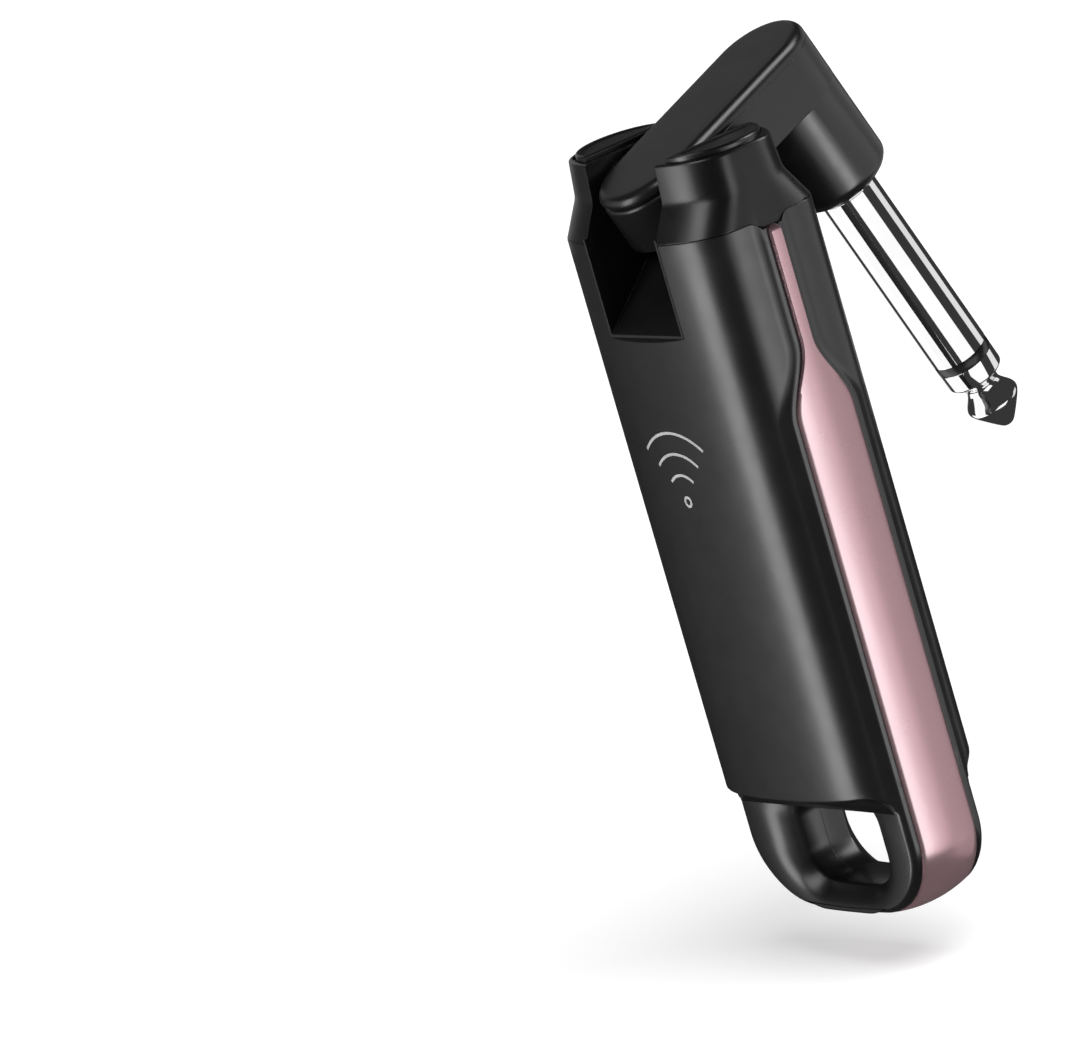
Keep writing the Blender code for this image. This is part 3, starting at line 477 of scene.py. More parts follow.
def floor_profile(offset, back_y, top_z, front_y):
    """A closed (y, z) outline of everything above the slot floor."""
    curve, base, run = floor_line(offset)
    tail = base + run * ((back_y - base.x) / run.x)
    front = [(front_y, top_z), (front_y, curve[0][1])] if front_y is not None \
        else [(curve[0][0], top_z)]
    return front + curve + [(tail.x, tail.y), (back_y, top_z)]


def head_form(z):
    """Half width and depth of the head at a height, its crease eased over a little."""
    def sharp_form(height):
        if height < CREASE_Z:
            share = (height - SHELL_TOP_Z) / (CREASE_Z - SHELL_TOP_Z)
            low, high = BODY, EAR_LOW
        else:
            share = (height - CREASE_Z) / (EAR_TOP_Z - CREASE_Z)
            low, high = EAR_LOW, EAR_HIGH
        return [a + (b - a) * clamped(share) for a, b in zip(low, high)]
    ease = 0.35
    parts = [sharp_form(z + ease * k) for k in (-1, -0.5, 0, 0.5, 1)]
    if z < SHELL_TOP_Z + 2 * ease or z > EAR_TOP_Z - 2 * ease:
        parts = [sharp_form(z)]
    return tuple(sum(p[i] for p in parts) / len(parts) for i in range(3))


RIDGE_DIP = 0.85           # how far the shoulder's lower edge dips beside the trim's top
DIP_RISE = 3.2             # and the height over which that dip fades


def build_head():
    """The ears and the tub between them, cut out for arm, pin, caps and screws."""
    low = SHELL_TOP_Z + HAIR
    rim = 0.3
    heights = [low + rise for rise in (0.0, 0.06, 0.2, 0.4, 0.7, 1.0, 1.4, 1.9, 2.4, 2.9)]
    heights += [CREASE_Z - 0.6 + 0.1 * i for i in range(13)]
    heights += [80.3, 81.2, 82.0, EAR_TOP_Z - rim]
    loops = []
    for z in heights:
        edge = 0.06 * (z == low)
        loops.append(section(z, head_form(z), TRIM_HALF_NARROW, 0.0,
                             inset=edge, dip=RIDGE_DIP * (1 - eased((z - low) / DIP_RISE))))
    for step in range(1, 5):
        turn = pi / 2 * step / 4
        z = EAR_TOP_Z - rim + rim * sin(turn)
        loops.append(shrink(loops[len(heights) - 1], rim * (1 - cos(turn)), z))
    head = loft("clevis_head", loops, 40)
    tub = floor_profile(0.25, PANEL_Y - 0.33, SHELL_TOP_Z + 0.6, None)
    boolean(head, prism("tub_body", tub, "x", -TUB_HALF, TUB_HALF), "UNION")
    slot = floor_profile(0.0, PANEL_Y + 4, EAR_TOP_Z + 4, -PANEL_Y - 4)
    boolean(head, prism("slot_cut", slot, "x", -SLOT_HALF, SLOT_HALF))
    pin_reach = span("hinge_pin")[1].x + 0.2
    boolean(head, turned("pin_bore", rod(1.3, -pin_reach, pin_reach), "x",
                         (0, HINGE_Y, HINGE_Z), 48))
    for side, word in ((1, "right"), (-1, "left")):
        recess = cap_outline(side, 0.2)
        boolean(head, prism(f"cap_seat_{word}", recess, "z", EAR_TOP_Z - 1.4, EAR_TOP_Z + 1))
        screw = span(f"head_screw_{word}")
        spot = ((screw[0].x + screw[1].x) / 2, (screw[0].y + screw[1].y) / 2, 0)
        shaft, head_r, foot, seat = 1.0, 1.7, SHELL_TOP_Z - 3, screw[1].z - 1.0
        hole = [(0, foot), (shaft, foot), (shaft, seat), (head_r, seat),
                (head_r, EAR_TOP_Z), (0, EAR_TOP_Z)]
        boolean(head, turned(f"screw_seat_{word}", hole, "z", spot, 48))
    return settle(head, 32)


def shrink(loop, amount, z):
    """The same loop drawn in toward the middle line and set at one height."""
    made = []
    for x, y, _ in loop:
        scale_y = (abs(y) - amount) / abs(y) if abs(y) > amount else 1.0
        scale_x = (abs(x) - amount) / abs(x) if abs(x) > amount + 4 else 1.0
        made.append((x * scale_x, y * scale_y, z))
    return made


CAP_FLAT_X = 7.3
CAP_REACH = 5.35
CAP_HALF = 5.45


def cap_outline(side, grow):
    """The D of an ear cap, flat toward the slot."""
    flat = CAP_FLAT_X - grow
    reach, half = CAP_REACH + grow, CAP_HALF + grow
    bow = [(flat + reach * cos(t), half * sin(t))
           for t in [radians(90 - 180 * i / 64) for i in range(65)]]
    return [(side * x, y) for x, y in bow]


def build_ear_cap(side, word):
    """A raised cap with a rounded rim and a shallow dished top."""
    low, high = span(f"ear_cap_{word}")
    middle = (low.x + high.x) / 2
    rim = 0.28
    rounded = [(rim * (1 - cos(t)), high.z - rim + rim * sin(t))
               for t in [pi / 2 * i / 5 for i in range(6)]]
    dished = [(0.95, high.z - 0.02), (1.1, high.z - 0.10), (1.5, high.z - 0.12)]
    loops = [drawn_in(cap_outline(side, 0.0), middle, inset, z)
             for inset, z in [(0.0, low.z)] + rounded + dished]
    return loft(f"cap_{word}", loops, 40)


def drawn_in(plan, middle, inset, z):
    """A plan scaled toward its middle, so that it loses the inset all round."""
    half_x = max(abs(x - middle) for x, y in plan)
    half_y = max(abs(y) for x, y in plan)
    return [(middle + (x - middle) * (1 - inset / half_x), y * (1 - inset / half_y), z)
            for x, y in plan]


# -------- shells

def body_blank(name):
    """The housing's outside, solid, from the underside above the loop to the shoulder."""
    loops = []
    for z, inset in ((UNDERSIDE_Z, UNDERSIDE_INSET),
                     (UNDERSIDE_Z + 0.06, UNDERSIDE_INSET - 0.04),
                     (PANEL_FOOT_Z - 0.12, 0.09), (PANEL_FOOT_Z, 0.02),
                     (PANEL_FOOT_Z + 0.12, 0.0)):
        loops.append(section(z, BODY, TRIM_HALF_WIDE, RIDGE_X, inset=inset, drop=1.0))
    for z, drop in ((15.8, 0.75), (17.2, 0.4), (19.5, 0.0), (30.0, 0.0), (42.0, 0.0)):
        loops.append(section(z, BODY, TRIM_HALF_WIDE, RIDGE_X, drop=drop))
    rise = FLARE_HIGH_Z - FLARE_LOW_Z + 2 * FLARE_MARGIN
    for i in range(FLARE_STEPS + 1):
        z = FLARE_LOW_Z - FLARE_MARGIN + rise * i / FLARE_STEPS
        loops.append(section(z, BODY, trim_half(z), RIDGE_X))
    for z, dip, edge in ((68.0, 0.0, 0), (71.0, 0.15, 0), (73.5, 0.5, 0),
                         (SHELL_TOP_Z - 0.12, RIDGE_DIP, 0),
                         (SHELL_TOP_Z - 0.03, RIDGE_DIP, 0.03),
                         (SHELL_TOP_Z, RIDGE_DIP, 0.1)):
        loops.append(section(z, BODY, TRIM_HALF_NARROW, RIDGE_X - edge, inset=edge, dip=dip))
    # the top sinks inside the rim, under the head
    loops.append([(x * 0.93, y * 0.88, min(z, SHELL_TOP_Z - 0.7)) for x, y, z in loops[-1]])
    loops.append([(x * 0.9, y * 0.85, SHELL_TOP_Z - 2.5) for x, y, _ in loops[-1]])
    return loft(name, loops, 40)


def smooth_run(controls, steps):
    """Points of a smooth curve through control pairs."""
    made = []
    last = len(controls) - 1
    for i in range(last):
        p0, p1 = controls[max(0, i - 1)], controls[i]
        p2, p3 = controls[i + 1], controls[min(last, i + 2)]
        for step in range(steps):
            t = step / steps
            made.append(tuple(
                0.5 * ((2 * b) + (c - a) * t + (2 * a - 5 * b + 4 * c - d) * t * t
                       + (3 * b - a - 3 * c + d) * t ** 3)
                for a, b, c, d in zip(p0, p1, p2, p3)))
    made.append(controls[-1])
    return made


def loop_ring(name):
    """The flat ring round the lanyard hole, its upper bar buried in the housing."""
    hidden_top = PANEL_FOOT_Z + 1.3
    rings = []
    for inset, depth in ((0.55, 4.08), (0.58, 4.2), (0.66, 4.35), (0.85, 4.6),
                         (1.08, LOOP_Y - 0.04), (1.17, LOOP_Y)):
        rings.append((outline(TRIM_X - inset, inset, hidden_top, CORNER_R - inset, 0.5,
                              BOTTOM_SAG), depth))
    rims = smooth_run([(3.9, LOOP_Y - 0.02), (3.3, LOOP_Y - 0.1), (2.6, LOOP_Y - 0.3),
                       (1.9, LOOP_Y - 0.62), (1.3, LOOP_Y - 1.0), (0.8, LOOP_Y - 1.38),
                       (0.4, LOOP_Y - 1.74)], 3)
    rims += [(0.12, LOOP_Y - 1.98), (0.0, LOOP_Y - 2.3)]
    for grow, depth in rims:
        rings.append((outline(7.2 + grow, 3.1 - grow * 0.62, 12.3 + grow * 0.9,
                              3.6 + grow, 2.6 + grow * 0.5, 0.25), depth))
    loops = [[(x, -depth, z) for x, z in ring] for ring, depth in rings]
    loops += [[(x, depth, z) for x, z in ring] for ring, depth in reversed(rings)]
    return loft(name, loops, 40, ring=True)


def half_space(name, side):
    """Everything on one side of the seam, and a hair past it."""
    far, past = 40.0, 0.002
    low, high = sorted((side * far, -side * past))
    return prism(name, [(-far, low), (far, low), (far, high), (-far, high)], "z", -20, 120)


def hollow(name):
    """The room for the board and the battery."""
    side_wall, panel_wall, floor_z, roof_z = 2.2, 1.6, 17.4, 70.6
    inner = (BODY[0] - side_wall, BODY[1] - panel_wall, BODY[2])
    loops = [[(x, y, z) for x, y, _ in section(0, inner, 0.0, 0.0)]
             for z in (floor_z, roof_z)]
    return loft(name, loops)


def build_shell(name, side):
    """One half of the housing: side is -1 for the front and 1 for the back."""
    shell = body_blank(name)
    boolean(shell, loop_ring(f"{name}_loop"), "UNION")
    boolean(shell, hollow(f"{name}_hollow"))
    boolean(shell, band(f"{name}_channel", 0.05, 3.0, TRIM_THICK + 0.05, square=True))
    tub = floor_profile(0.28, PANEL_Y + 4, EAR_TOP_Z, None)
    boolean(shell, prism(f"{name}_tub", tub, "x", -TUB_HALF - HAIR, TUB_HALF + HAIR))
    boolean(shell, half_space(f"{name}_seam", -side))
    half, foot, top = 0.9, BAR_LOW.z - 0.4, BAR_HIGH.z + 0.4
    bar = [(-half, foot), (half, foot), (half, top), (-half, top)]
    boolean(shell, prism(f"{name}_bar", bar, "x", 10.0, TRIM_X + 1))
    return shell


def build_front_shell():
    shell = build_shell("front_housing", -1)
    hole = rod(BUTTON_R + 0.8, -PANEL_Y - 1, -PANEL_Y + 3)
    boolean(shell, turned("button_hole", hole, "y", (0, 0, BUTTON_Z), 128))
    boolean(shell, prism("port_cut", port_outline(0.1), "x", PORT_LOW.x - 1, PORT_HIGH.x + 3))
    return settle(shell, 32)


def build_back_shell():
    return settle(build_shell("back_housing", 1), 32)


# -------- swinging arm

def arm_plan(inset=0.0, steps=56):
    radius = ARM_HALF - inset
    return arc(0, TAIL_Y, radius, 0, 180, steps) + arc(0, -ARM_REACH, radius, 180, 360, steps)


def build_arm():
    """The arm with its barrel, hollowed for the plug's nut, the leads and the pin."""
    edge = 0.35
    loops = [arm_loop(edge * (1 - sin(turn)), ARM_UNDER + edge * (1 - cos(turn)))
             for turn in [pi / 2 * i / 5 for i in range(6)]]
    top = COVER_SEAM - HAIR
    for turn in [pi / 2 * i / 6 for i in range(7)]:
        loops.append(tail_loop(0.55 * (1 - cos(turn)), top - 0.5 * (1 - sin(turn))))
    arm = loft("swing_arm", loops, 40, FOLDED)
    centre = (0, -ARM_REACH, 0)
    chamfer = 1.15
    lip = 0.28
    barrel = [(0, BARREL_END), (ARM_HALF - chamfer - lip, BARREL_END)]
    barrel += arc(ARM_HALF - chamfer - lip, BARREL_END + lip, lip, -80, -50, 4)
    side = ARM_HALF - 0.02
    barrel += smooth_run([(ARM_HALF - chamfer, BARREL_END + 0.1),
                          (ARM_HALF - chamfer * 0.5, BARREL_END + chamfer * 0.45),
                          (ARM_HALF - 0.12, BARREL_END + chamfer),
                          (side, BARREL_END + chamfer + 0.55)], 4)
    barrel += [(side, ARM_UNDER + 0.8), (0, ARM_UNDER + 0.8)]
    boolean(arm, turned("barrel_form", barrel, "z", centre, 112, FOLDED), "UNION")
    bore = rod(4.3, BARREL_END + 2.1, COVER_SEAM + 1)
    boolean(arm, turned("barrel_hollow", bore, "z", centre, 64, FOLDED))
    shank = rod(2.6, BARREL_END - 1, BARREL_END + 3)
    boolean(arm, turned("shank_hole", shank, "z", centre, 64, FOLDED))
    channel = [(-3.4, -ARM_REACH), (3.4, -ARM_REACH), (3.4, -3.2), (-3.4, -3.2)]
    boolean(arm, prism("lead_channel", channel, "z", ARM_UNDER + 1.2, COVER_SEAM + 1, FOLDED))
    washer_seats(arm, "arm")
    pin = rod(1.27, -ARM_HALF - 1, ARM_HALF + 1)
    boolean(arm, turned("arm_bore", pin, "x", (0, 0, 0), 48, FOLDED))
    return settle(arm, 32)


def arm_loop(inset, z):
    return [(x, y, z) for x, y in arm_plan(inset)]


def tail_loop(inset, z):
    """The arm's plan with its edge drawn in at the tail only."""
    made = []
    for (x, y), (inner_x, inner_y) in zip(arm_plan(), arm_plan(inset)):
        share = 0.06 + 0.94 * eased((y - 1.0) / 4.5)
        made.append((x + (inner_x - x) * share, y + (inner_y - y) * share, z))
    return made


def washer_seats(piece, word):
    for side in (1, -1):
        inner, outer = sorted((side * 5.2, side * (ARM_HALF + 1)))
        boolean(piece, turned(f"seat_{word}_{side + 1}", rod(3.1, inner, outer), "x",
                              (0, 0, 0), 64, FOLDED))


def build_arm_lid():
    """The lid of the arm: a flat top with a rounded rim."""
    rim = 1.15
    loops = [tail_loop(0.3, COVER_SEAM), tail_loop(0.25, COVER_SEAM + 0.02),
             tail_loop(0.22, COVER_SEAM + 0.1)]
    for i in range(13):
        turn = pi / 2 * i / 12
        loops.append(arm_loop(rim * (1 - cos(turn)), ARM_TOP - rim + rim * sin(turn))
                     if i else tail_loop(0.2, ARM_TOP - rim))
    loops.append(arm_loop(rim + 1.0, ARM_TOP + 0.01))
    lid = loft("arm_lid", loops, 50, FOLDED)
    washer_seats(lid, "lid")
    return settle(lid, 50)


# -------- plug

def build_plug():
    """The chrome sleeve, the ring and the tip, all turned about the barrel's axis."""
    centre = (0, -ARM_REACH, 0)
    face = BARREL_END - HAIR
    bore = 1.55
    flange = 0.45
    shank = 2.45
    sleeve = [(bore, RING_HIGH + HAIR), (SLEEVE_R - 0.06, RING_HIGH + HAIR),
              (SLEEVE_R, RING_HIGH + HAIR + 0.06), (SLEEVE_R, face - 0.62),
              (SLEEVE_R + 0.08, face - 0.54), (SLEEVE_R + flange - 0.1, face - 0.5),
              (SLEEVE_R + flange, face - 0.4), (SLEEVE_R + flange, face - 0.02),
              (shank, face - 0.02), (shank, face + 5.4), (bore, face + 5.4)]
    made = [("plug_barrel", sleeve, ("plug_sleeve",), "chrome_plug")]
    ring = [(bore, RING_LOW), (SLEEVE_R - 0.05, RING_LOW), (SLEEVE_R - 0.02, RING_LOW + 0.05),
            (SLEEVE_R - 0.02, RING_HIGH - 0.05), (SLEEVE_R - 0.05, RING_HIGH),
            (bore, RING_HIGH)]
    made.append(("insulating_ring", ring, ("plug_insulator_ring",), "plug_insulator"))
    made.append(("tip_contact", tip_profile(RING_LOW - HAIR, face + 7.9), ("plug_tip",),
                 "chrome_plug"))
    for name, profile, nodes, slot in made:
        piece = turned(name, profile, "z", centre, 128, FOLDED, 36)
        finish_piece(piece, "arm", slot, *nodes)
        CHROME.append(piece)


def tip_profile(collar_top, rod_top):
    """The tip from its end up: cone, bulb, waist, collar, and the rod to its tag."""
    end = TIP_END
    bulb = end + 3.3
    cone = smooth_run([(0.05, end), (0.5, end + 0.06), (0.85, end + 0.32),
                       (1.5, end + 1.1), (2.15, end + 1.95), (2.72, end + 2.75),
                       (2.96, bulb), (2.8, bulb + 0.5), (2.35, bulb + 1.15),
                       (2.0, bulb + 1.75), (1.93, bulb + 2.25), (2.12, bulb + 2.7),
                       (2.55, bulb + 3.1), (2.98, bulb + 3.42)], 5)
    collar_r, rod_r = SLEEVE_R - 0.03, 0.85
    return ([(0, end)] + cone
            + [(3.1, bulb + 3.55), (collar_r, bulb + 3.7), (collar_r, collar_top - 0.05),
               (SLEEVE_R - 0.08, collar_top), (rod_r, collar_top), (rod_r, rod_top),
               (0, rod_top)])


# -------- button and lights

def on_panel(piece, front_of):
    """Bends the outer face of a piece to the crown of the front panel."""
    for v in piece.data.vertices:
        if v.co.y / MM < front_of:
            v.co.y += (PANEL_Y - oblong_y(v.co.x / MM)) * MM


def disc_profile(radius, face, depth):
    """A disc with rings in its face, so that on_panel() can bend it."""
    rings = 9
    flat = [(radius * 0.97 * i / rings, face) for i in range(1, rings + 1)]
    return [(0, face)] + flat + [(radius, face + 0.12), (radius, face + depth),
                                 (0, face + depth)]


def build_button():
    button = turned("power_key", disc_profile(BUTTON_R + 0.26, -PANEL_Y, 1.2), "y",
                    (0, 0, BUTTON_Z), 128)
    on_panel(button, -PANEL_Y + 1.5)
    finish_piece(button, "button", "black_housing", "power_button")
    inner, outer = BUTTON_R + 0.29, BUTTON_R + 0.76
    ring = [(inner, -PANEL_Y + 0.02), (outer, -PANEL_Y + 0.02), (outer, -PANEL_Y + 1.9),
            (inner, -PANEL_Y + 1.9)]
    light = turned("button_light", ring, "y", (0, 0, BUTTON_Z), 160)
    on_panel(light, -PANEL_Y + 2.5)
    light.visible_glossy = False
    finish_piece(light, "housing", "green_light_guide", "button_light_ring")


def build_light_bar():
    loops = []
    for inset, x in ((0.0, BAR_LOW.x), (0.0, TRIM_X - 0.16), (0.05, TRIM_X - 0.09),
                     (0.16, TRIM_X - 0.05), (0.3, TRIM_X - 0.03)):
        plan = stadium(BAR_HALF - inset, BAR_LOW.z + inset, BAR_HIGH.z - inset)
        loops.append([(x, y + BAR_MIDDLE, z) for y, z in plan])
    bar = loft("light_bar", loops, 60)
    bar.visible_glossy = False
    finish_piece(bar, "housing", "green_light_guide", "led_light_bar")


# -------- charging port

def port_outline(grow):
    """The mouth of the port in (y, z): two corners cut on the front side."""
    y0, y1 = PORT_LOW.y - grow, PORT_HIGH.y + grow
    z0, z1 = PORT_LOW.z - grow, PORT_HIGH.z + grow
    cut, slope, bend = 1.15, 1.3, 0.2
    spots = [(y1, z0), (y1, z1), (y0 + slope, z1), (y0, z1 - cut), (y0, z0 + cut),
             (y0 + slope, z0)]
    return soft_corners(spots, bend)


def soft_corners(spots, bend):
    """A closed outline with each corner rounded over a short bend."""
    made = []
    for i, spot in enumerate(spots):
        here = Vector(spot)
        before = (Vector(spots[i - 1]) - here).normalized() * bend
        after = (Vector(spots[(i + 1) % len(spots)]) - here).normalized() * bend
        for step in range(5):
            t = step / 4
            p = here + before * (1 - t) ** 2 + after * t ** 2
            made.append((p.x, p.y))
    return made


def build_port():
    lip = 0.06
    wall = 0.24
    mouth = PORT_HIGH.x
    outer = [(0.0, PORT_LOW.x), (0.0, mouth - lip), (-lip, mouth)]
    inner = [(-wall + lip, mouth), (-wall, mouth - lip), (-wall, PORT_LOW.x + 0.6)]
    loops = [[(x, y, z) for y, z in port_outline(grow)] for grow, x in outer + inner]
    shell = loft("port_shell", loops, 40)
    finish_piece(shell, "housing", "bright_steel", "usb_shell")
    low, high = span("usb_tongue")
    plan = [(low.y, low.z), (high.y, low.z), (high.y, high.z), (low.y, high.z)]
    loops = [[(x, y, z) for y, z in soft_corners(plan, b)]
             for x, b in ((low.x, 0.05), (high.x - 0.1, 0.05), (high.x, 0.16))]
    tongue = loft("port_tongue", loops, 40)
    finish_piece(tongue, "housing", "chip_black", "usb_tongue")


# -------- printed symbol

def ribbon(name, strokes, width, proud):
    """Flat printed strokes that follow the crown of the back panel."""
    points, faces = [], []
    for stroke in strokes:
        closed = stroke[0] == stroke[-1]
        spots = [Vector(p) for p in (stroke[:-1] if closed else stroke)]
        base, count = len(points), len(spots)
        for i, spot in enumerate(spots):
            before = spots[i - 1] if closed or i else spot
            after = spots[(i + 1) % count] if closed or i < count - 1 else spot
            run = (after - before).normalized()
            across = Vector((-run.y, run.x)) * width / 2
            for side, lift in ((1, proud), (-1, proud), (-1, -proud), (1, -proud)):
                p = spot + across * side
                points.append((p.x, oblong_y(p.x) + lift, p.y))
        for i in range(count if closed else count - 1):
            a, b = base + 4 * i, base + 4 * ((i + 1) % count)
            faces += [(a + k, a + (k + 1) % 4, b + (k + 1) % 4, b + k) for k in range(4)]
        if not closed:
            tail = base + 4 * (count - 1)
            faces += [(base + 3, base + 2, base + 1, base), (tail, tail + 1, tail + 2, tail + 3)]
    return make(name, points, faces)


SYMBOL_X = 0.6
SYMBOL_Z = 47.6


def build_symbol():
    """A plain radio-waves sign: a small ring with three arcs over it."""
    strokes = [arc(SYMBOL_X, SYMBOL_Z, radius, 48, 132, 24) for radius in (2.9, 5.2, 7.5)]
    ring = arc(SYMBOL_X, SYMBOL_Z, 0.5, 0, 360, 24)
    ring[-1] = ring[0]
    sign = ribbon("wireless_sign", strokes + [ring], 0.3, 0.012)
    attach(sign, "housing")
    coat(sign, "print")


# -------- materials

def nodes_of(name):
    made = bpy.data.materials.new(name)
    made.use_nodes = True
    tree = made.node_tree
    return made, tree, tree.nodes["Principled BSDF"]


def add_node(tree, kind, **values):
    """A shader node with some of its inputs set."""
    made = tree.nodes.new(kind)
    for name, value in values.items():
        made.inputs[name.replace("_", " ")].default_value = value
    return made


def noise(tree, scale, detail=4.0, stretch=None):
    """A noise over the piece's own coordinates; scale counts features per millimetre."""
    source = tree.nodes.new("ShaderNodeTexCoord").outputs["Object"]
    if stretch:
        mapping = add_node(tree, "ShaderNodeMapping", Scale=stretch)
        tree.links.new(source, mapping.inputs["Vector"])
        source = mapping.outputs["Vector"]
    made = add_node(tree, "ShaderNodeTexNoise", Scale=scale / MM, Detail=detail)
    tree.links.new(source, made.inputs["Vector"])
    return made


def remap(tree, value, low, high):
    """Spreads a noise, which keeps to about 0.3 to 0.7, over new limits."""
    made = add_node(tree, "ShaderNodeMapRange", From_Min=0.3, From_Max=0.7,
                    To_Min=low, To_Max=high)
    tree.links.new(value, made.inputs["Value"])
    return made.outputs["Result"]


def mottle(tree, shader, dark, light, scale):
    """Two close colours mixed by a soft noise."""
    cloud = noise(tree, scale)
    mix = tree.nodes.new("ShaderNodeMix")
    mix.data_type = "RGBA"
    mix.inputs["A"].default_value = (*dark, 1)
    mix.inputs["B"].default_value = (*light, 1)
    tree.links.new(remap(tree, cloud.outputs["Fac"], 0.0, 1.0), mix.inputs["Factor"])
    tree.links.new(mix.outputs["Result"], shader.inputs["Base Color"])
    return mix


def relief(tree, shader, scale, height, edge=0.0, stretch=None):
    """Fine surface relief, over edges that are slightly broken."""
    bump = add_node(tree, "ShaderNodeBump", Strength=1.0, Distance=height * MM)
    grain = noise(tree, scale, 3.0, stretch)
    tree.links.new(grain.outputs["Fac"], bump.inputs["Height"])
    if edge:
        soft = add_node(tree, "ShaderNodeBevel", Radius=edge * MM)
        soft.samples = 6
        tree.links.new(soft.outputs["Normal"], bump.inputs["Normal"])
    tree.links.new(bump.outputs["Normal"], shader.inputs["Normal"])


def surface(name, dark, light, rough, metallic=0.0, cloud=0.25, grain=6.0, height=0.004,
            edge=0.0, stretch=None):
    """A finish with clouded colour, uneven gloss and fine relief."""
    made, tree, shader = nodes_of(name)
    mottle(tree, shader, dark, light, cloud)
    gloss = noise(tree, cloud * 3)
    tree.links.new(remap(tree, gloss.outputs["Fac"], *rough), shader.inputs["Roughness"])
    shader.inputs["Metallic"].default_value = metallic
    relief(tree, shader, grain, height, edge, stretch)
    return made


def glowing(name, colour, power):
    """A light guide that glows in its own slightly clouded colour."""
    made, tree, shader = nodes_of(name)
    mix = mottle(tree, shader, [c * 0.9 for c in colour], colour, 0.6)
    tree.links.new(mix.outputs["Result"], shader.inputs["Emission Color"])
    shader.inputs["Emission Strength"].default_value = power
    shader.inputs["Roughness"].default_value = 0.3
    return made


def grey(value, blue=0.0):
    return (value, value, value + blue)


# by the slot of the frame that each finish stands for
MATERIALS = {
    "black_housing": surface("satin_black_plastic", grey(0.003), grey(0.0045, 0.0002),
        (0.27, 0.33), cloud=0.12, grain=9.0, height=0.0006, edge=0.1),
    "rose_gold_trim": surface("rose_anodised_metal", (0.66, 0.40, 0.44), (0.71, 0.44, 0.48),
        (0.24, 0.29), 0.85, cloud=0.03, grain=14.0, height=0.0003,
        edge=0.14),
    "chrome_plug": surface("polished_chrome", grey(0.84), grey(0.90), (0.03, 0.06), 1.0,
        cloud=0.2, grain=0.5, height=0.0006),
    "plug_insulator": surface("insulator_plastic", grey(0.010), grey(0.016), (0.2, 0.3)),
    "bright_steel": surface("rolled_steel", grey(0.50), grey(0.62, 0.01), (0.2, 0.34), 1.0,
        cloud=0.5, grain=8.0, height=0.002, stretch=(1, 1, 6)),
    "contact_brass": surface("plated_brass", (0.66, 0.48, 0.20), (0.78, 0.60, 0.28),
        (0.22, 0.35), 1.0, cloud=0.8),
    "green_light_guide": glowing("green_light_guide", (0.004, 0.80, 0.055), 1.15),
    "circuit_board": surface("solder_mask", (0.008, 0.09, 0.03), (0.014, 0.13, 0.045),
        (0.3, 0.42), cloud=0.6, grain=2.0, height=0.01),
    "chip_black": surface("chip_epoxy", grey(0.02), grey(0.032, 0.002), (0.5, 0.62),
        cloud=1.0, grain=12.0),
    "shield_can": surface("tinned_shield", grey(0.55), grey(0.68), (0.26, 0.4), 1.0,
        cloud=0.4, grain=3.0),
    "battery_foil": surface("battery_foil", grey(0.55), grey(0.66, 0.01), (0.3, 0.46), 0.7,
        cloud=0.3, grain=1.2, height=0.03),
    "foam_pad": surface("cell_foam", grey(0.04), grey(0.075), (0.9, 1.0), cloud=2.0,
        grain=3.0, height=0.08),
    "white_plastic": surface("white_plastic", (0.70, 0.70, 0.66), (0.80, 0.80, 0.76),
        (0.4, 0.5)),
    "black_wire": surface("black_wire", grey(0.015), grey(0.03), (0.4, 0.55), cloud=1.0),
    "red_wire": surface("red_wire", (0.42, 0.01, 0.01), (0.55, 0.03, 0.02), (0.4, 0.5),
        cloud=1.0),
    "print": surface("printed_grey", grey(0.30), grey(0.38, 0.01), (0.45, 0.55), cloud=1.0),
}

# the CAD nodes that are shown as they are
NODE_LOOKS = {
    "bright_steel": ["hinge_pin", "friction_washer_left", "friction_washer_right",
                     "head_screw_left", "head_screw_right", "board_screw_low",
                     "board_screw_high", "plug_nut", "button_switch"],
    "contact_brass": ["tip_lug", "sleeve_lug"] + [f"usb_contact_{i}" for i in range(1, 6)],
    "circuit_board": ["main_board", "led_board"],
    "chip_black": ["audio_chip", "charge_chip"],
    "shield_can": ["radio_shield"],
    "battery_foil": ["battery_cell"],
    "foam_pad": ["battery_pad"],
    "white_plastic": ["antenna", "tip_lead"],
    "black_wire": ["sleeve_lead", "battery_lead_negative"],
    "red_wire": ["battery_lead_positive"],
    "plug_insulator": ["plug_insulator_tube"],
}


def coat(piece, look):
    piece.data.materials.clear()
    piece.data.materials.append(MATERIALS[look])


def finish_piece(piece, body, slot, *nodes):
    """Rides on its body, stands for its CAD nodes and takes its slot's finish."""
    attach(piece, body)
    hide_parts(*nodes)
    coat(piece, slot)


def dress_cad_nodes():
    for look, names in NODE_LOOKS.items():
        for name in names:
            coat(frame["nodes"][name], look)


# -------- assembly

CHROME = []


def build_object():
    for build, slot, node in ((build_front_shell, "black_housing", "front_shell"),
                              (build_back_shell, "black_housing", "back_shell"),
                              (build_head, "black_housing", "hinge_head"),
                              (build_trim, "rose_gold_trim", "trim_band")):
        finish_piece(build(), "housing", slot, node)
    for side, word in ((1, "right"), (-1, "left")):
        finish_piece(build_ear_cap(side, word), "housing", "black_housing", f"ear_cap_{word}")
    finish_piece(build_arm(), "arm", "black_housing", "arm_body")
    finish_piece(build_arm_lid(), "arm", "black_housing", "arm_cover")
    build_plug()
    build_button()
    build_light_bar()
    build_port()
    build_symbol()
    dress_cad_nodes()


# -------- studio

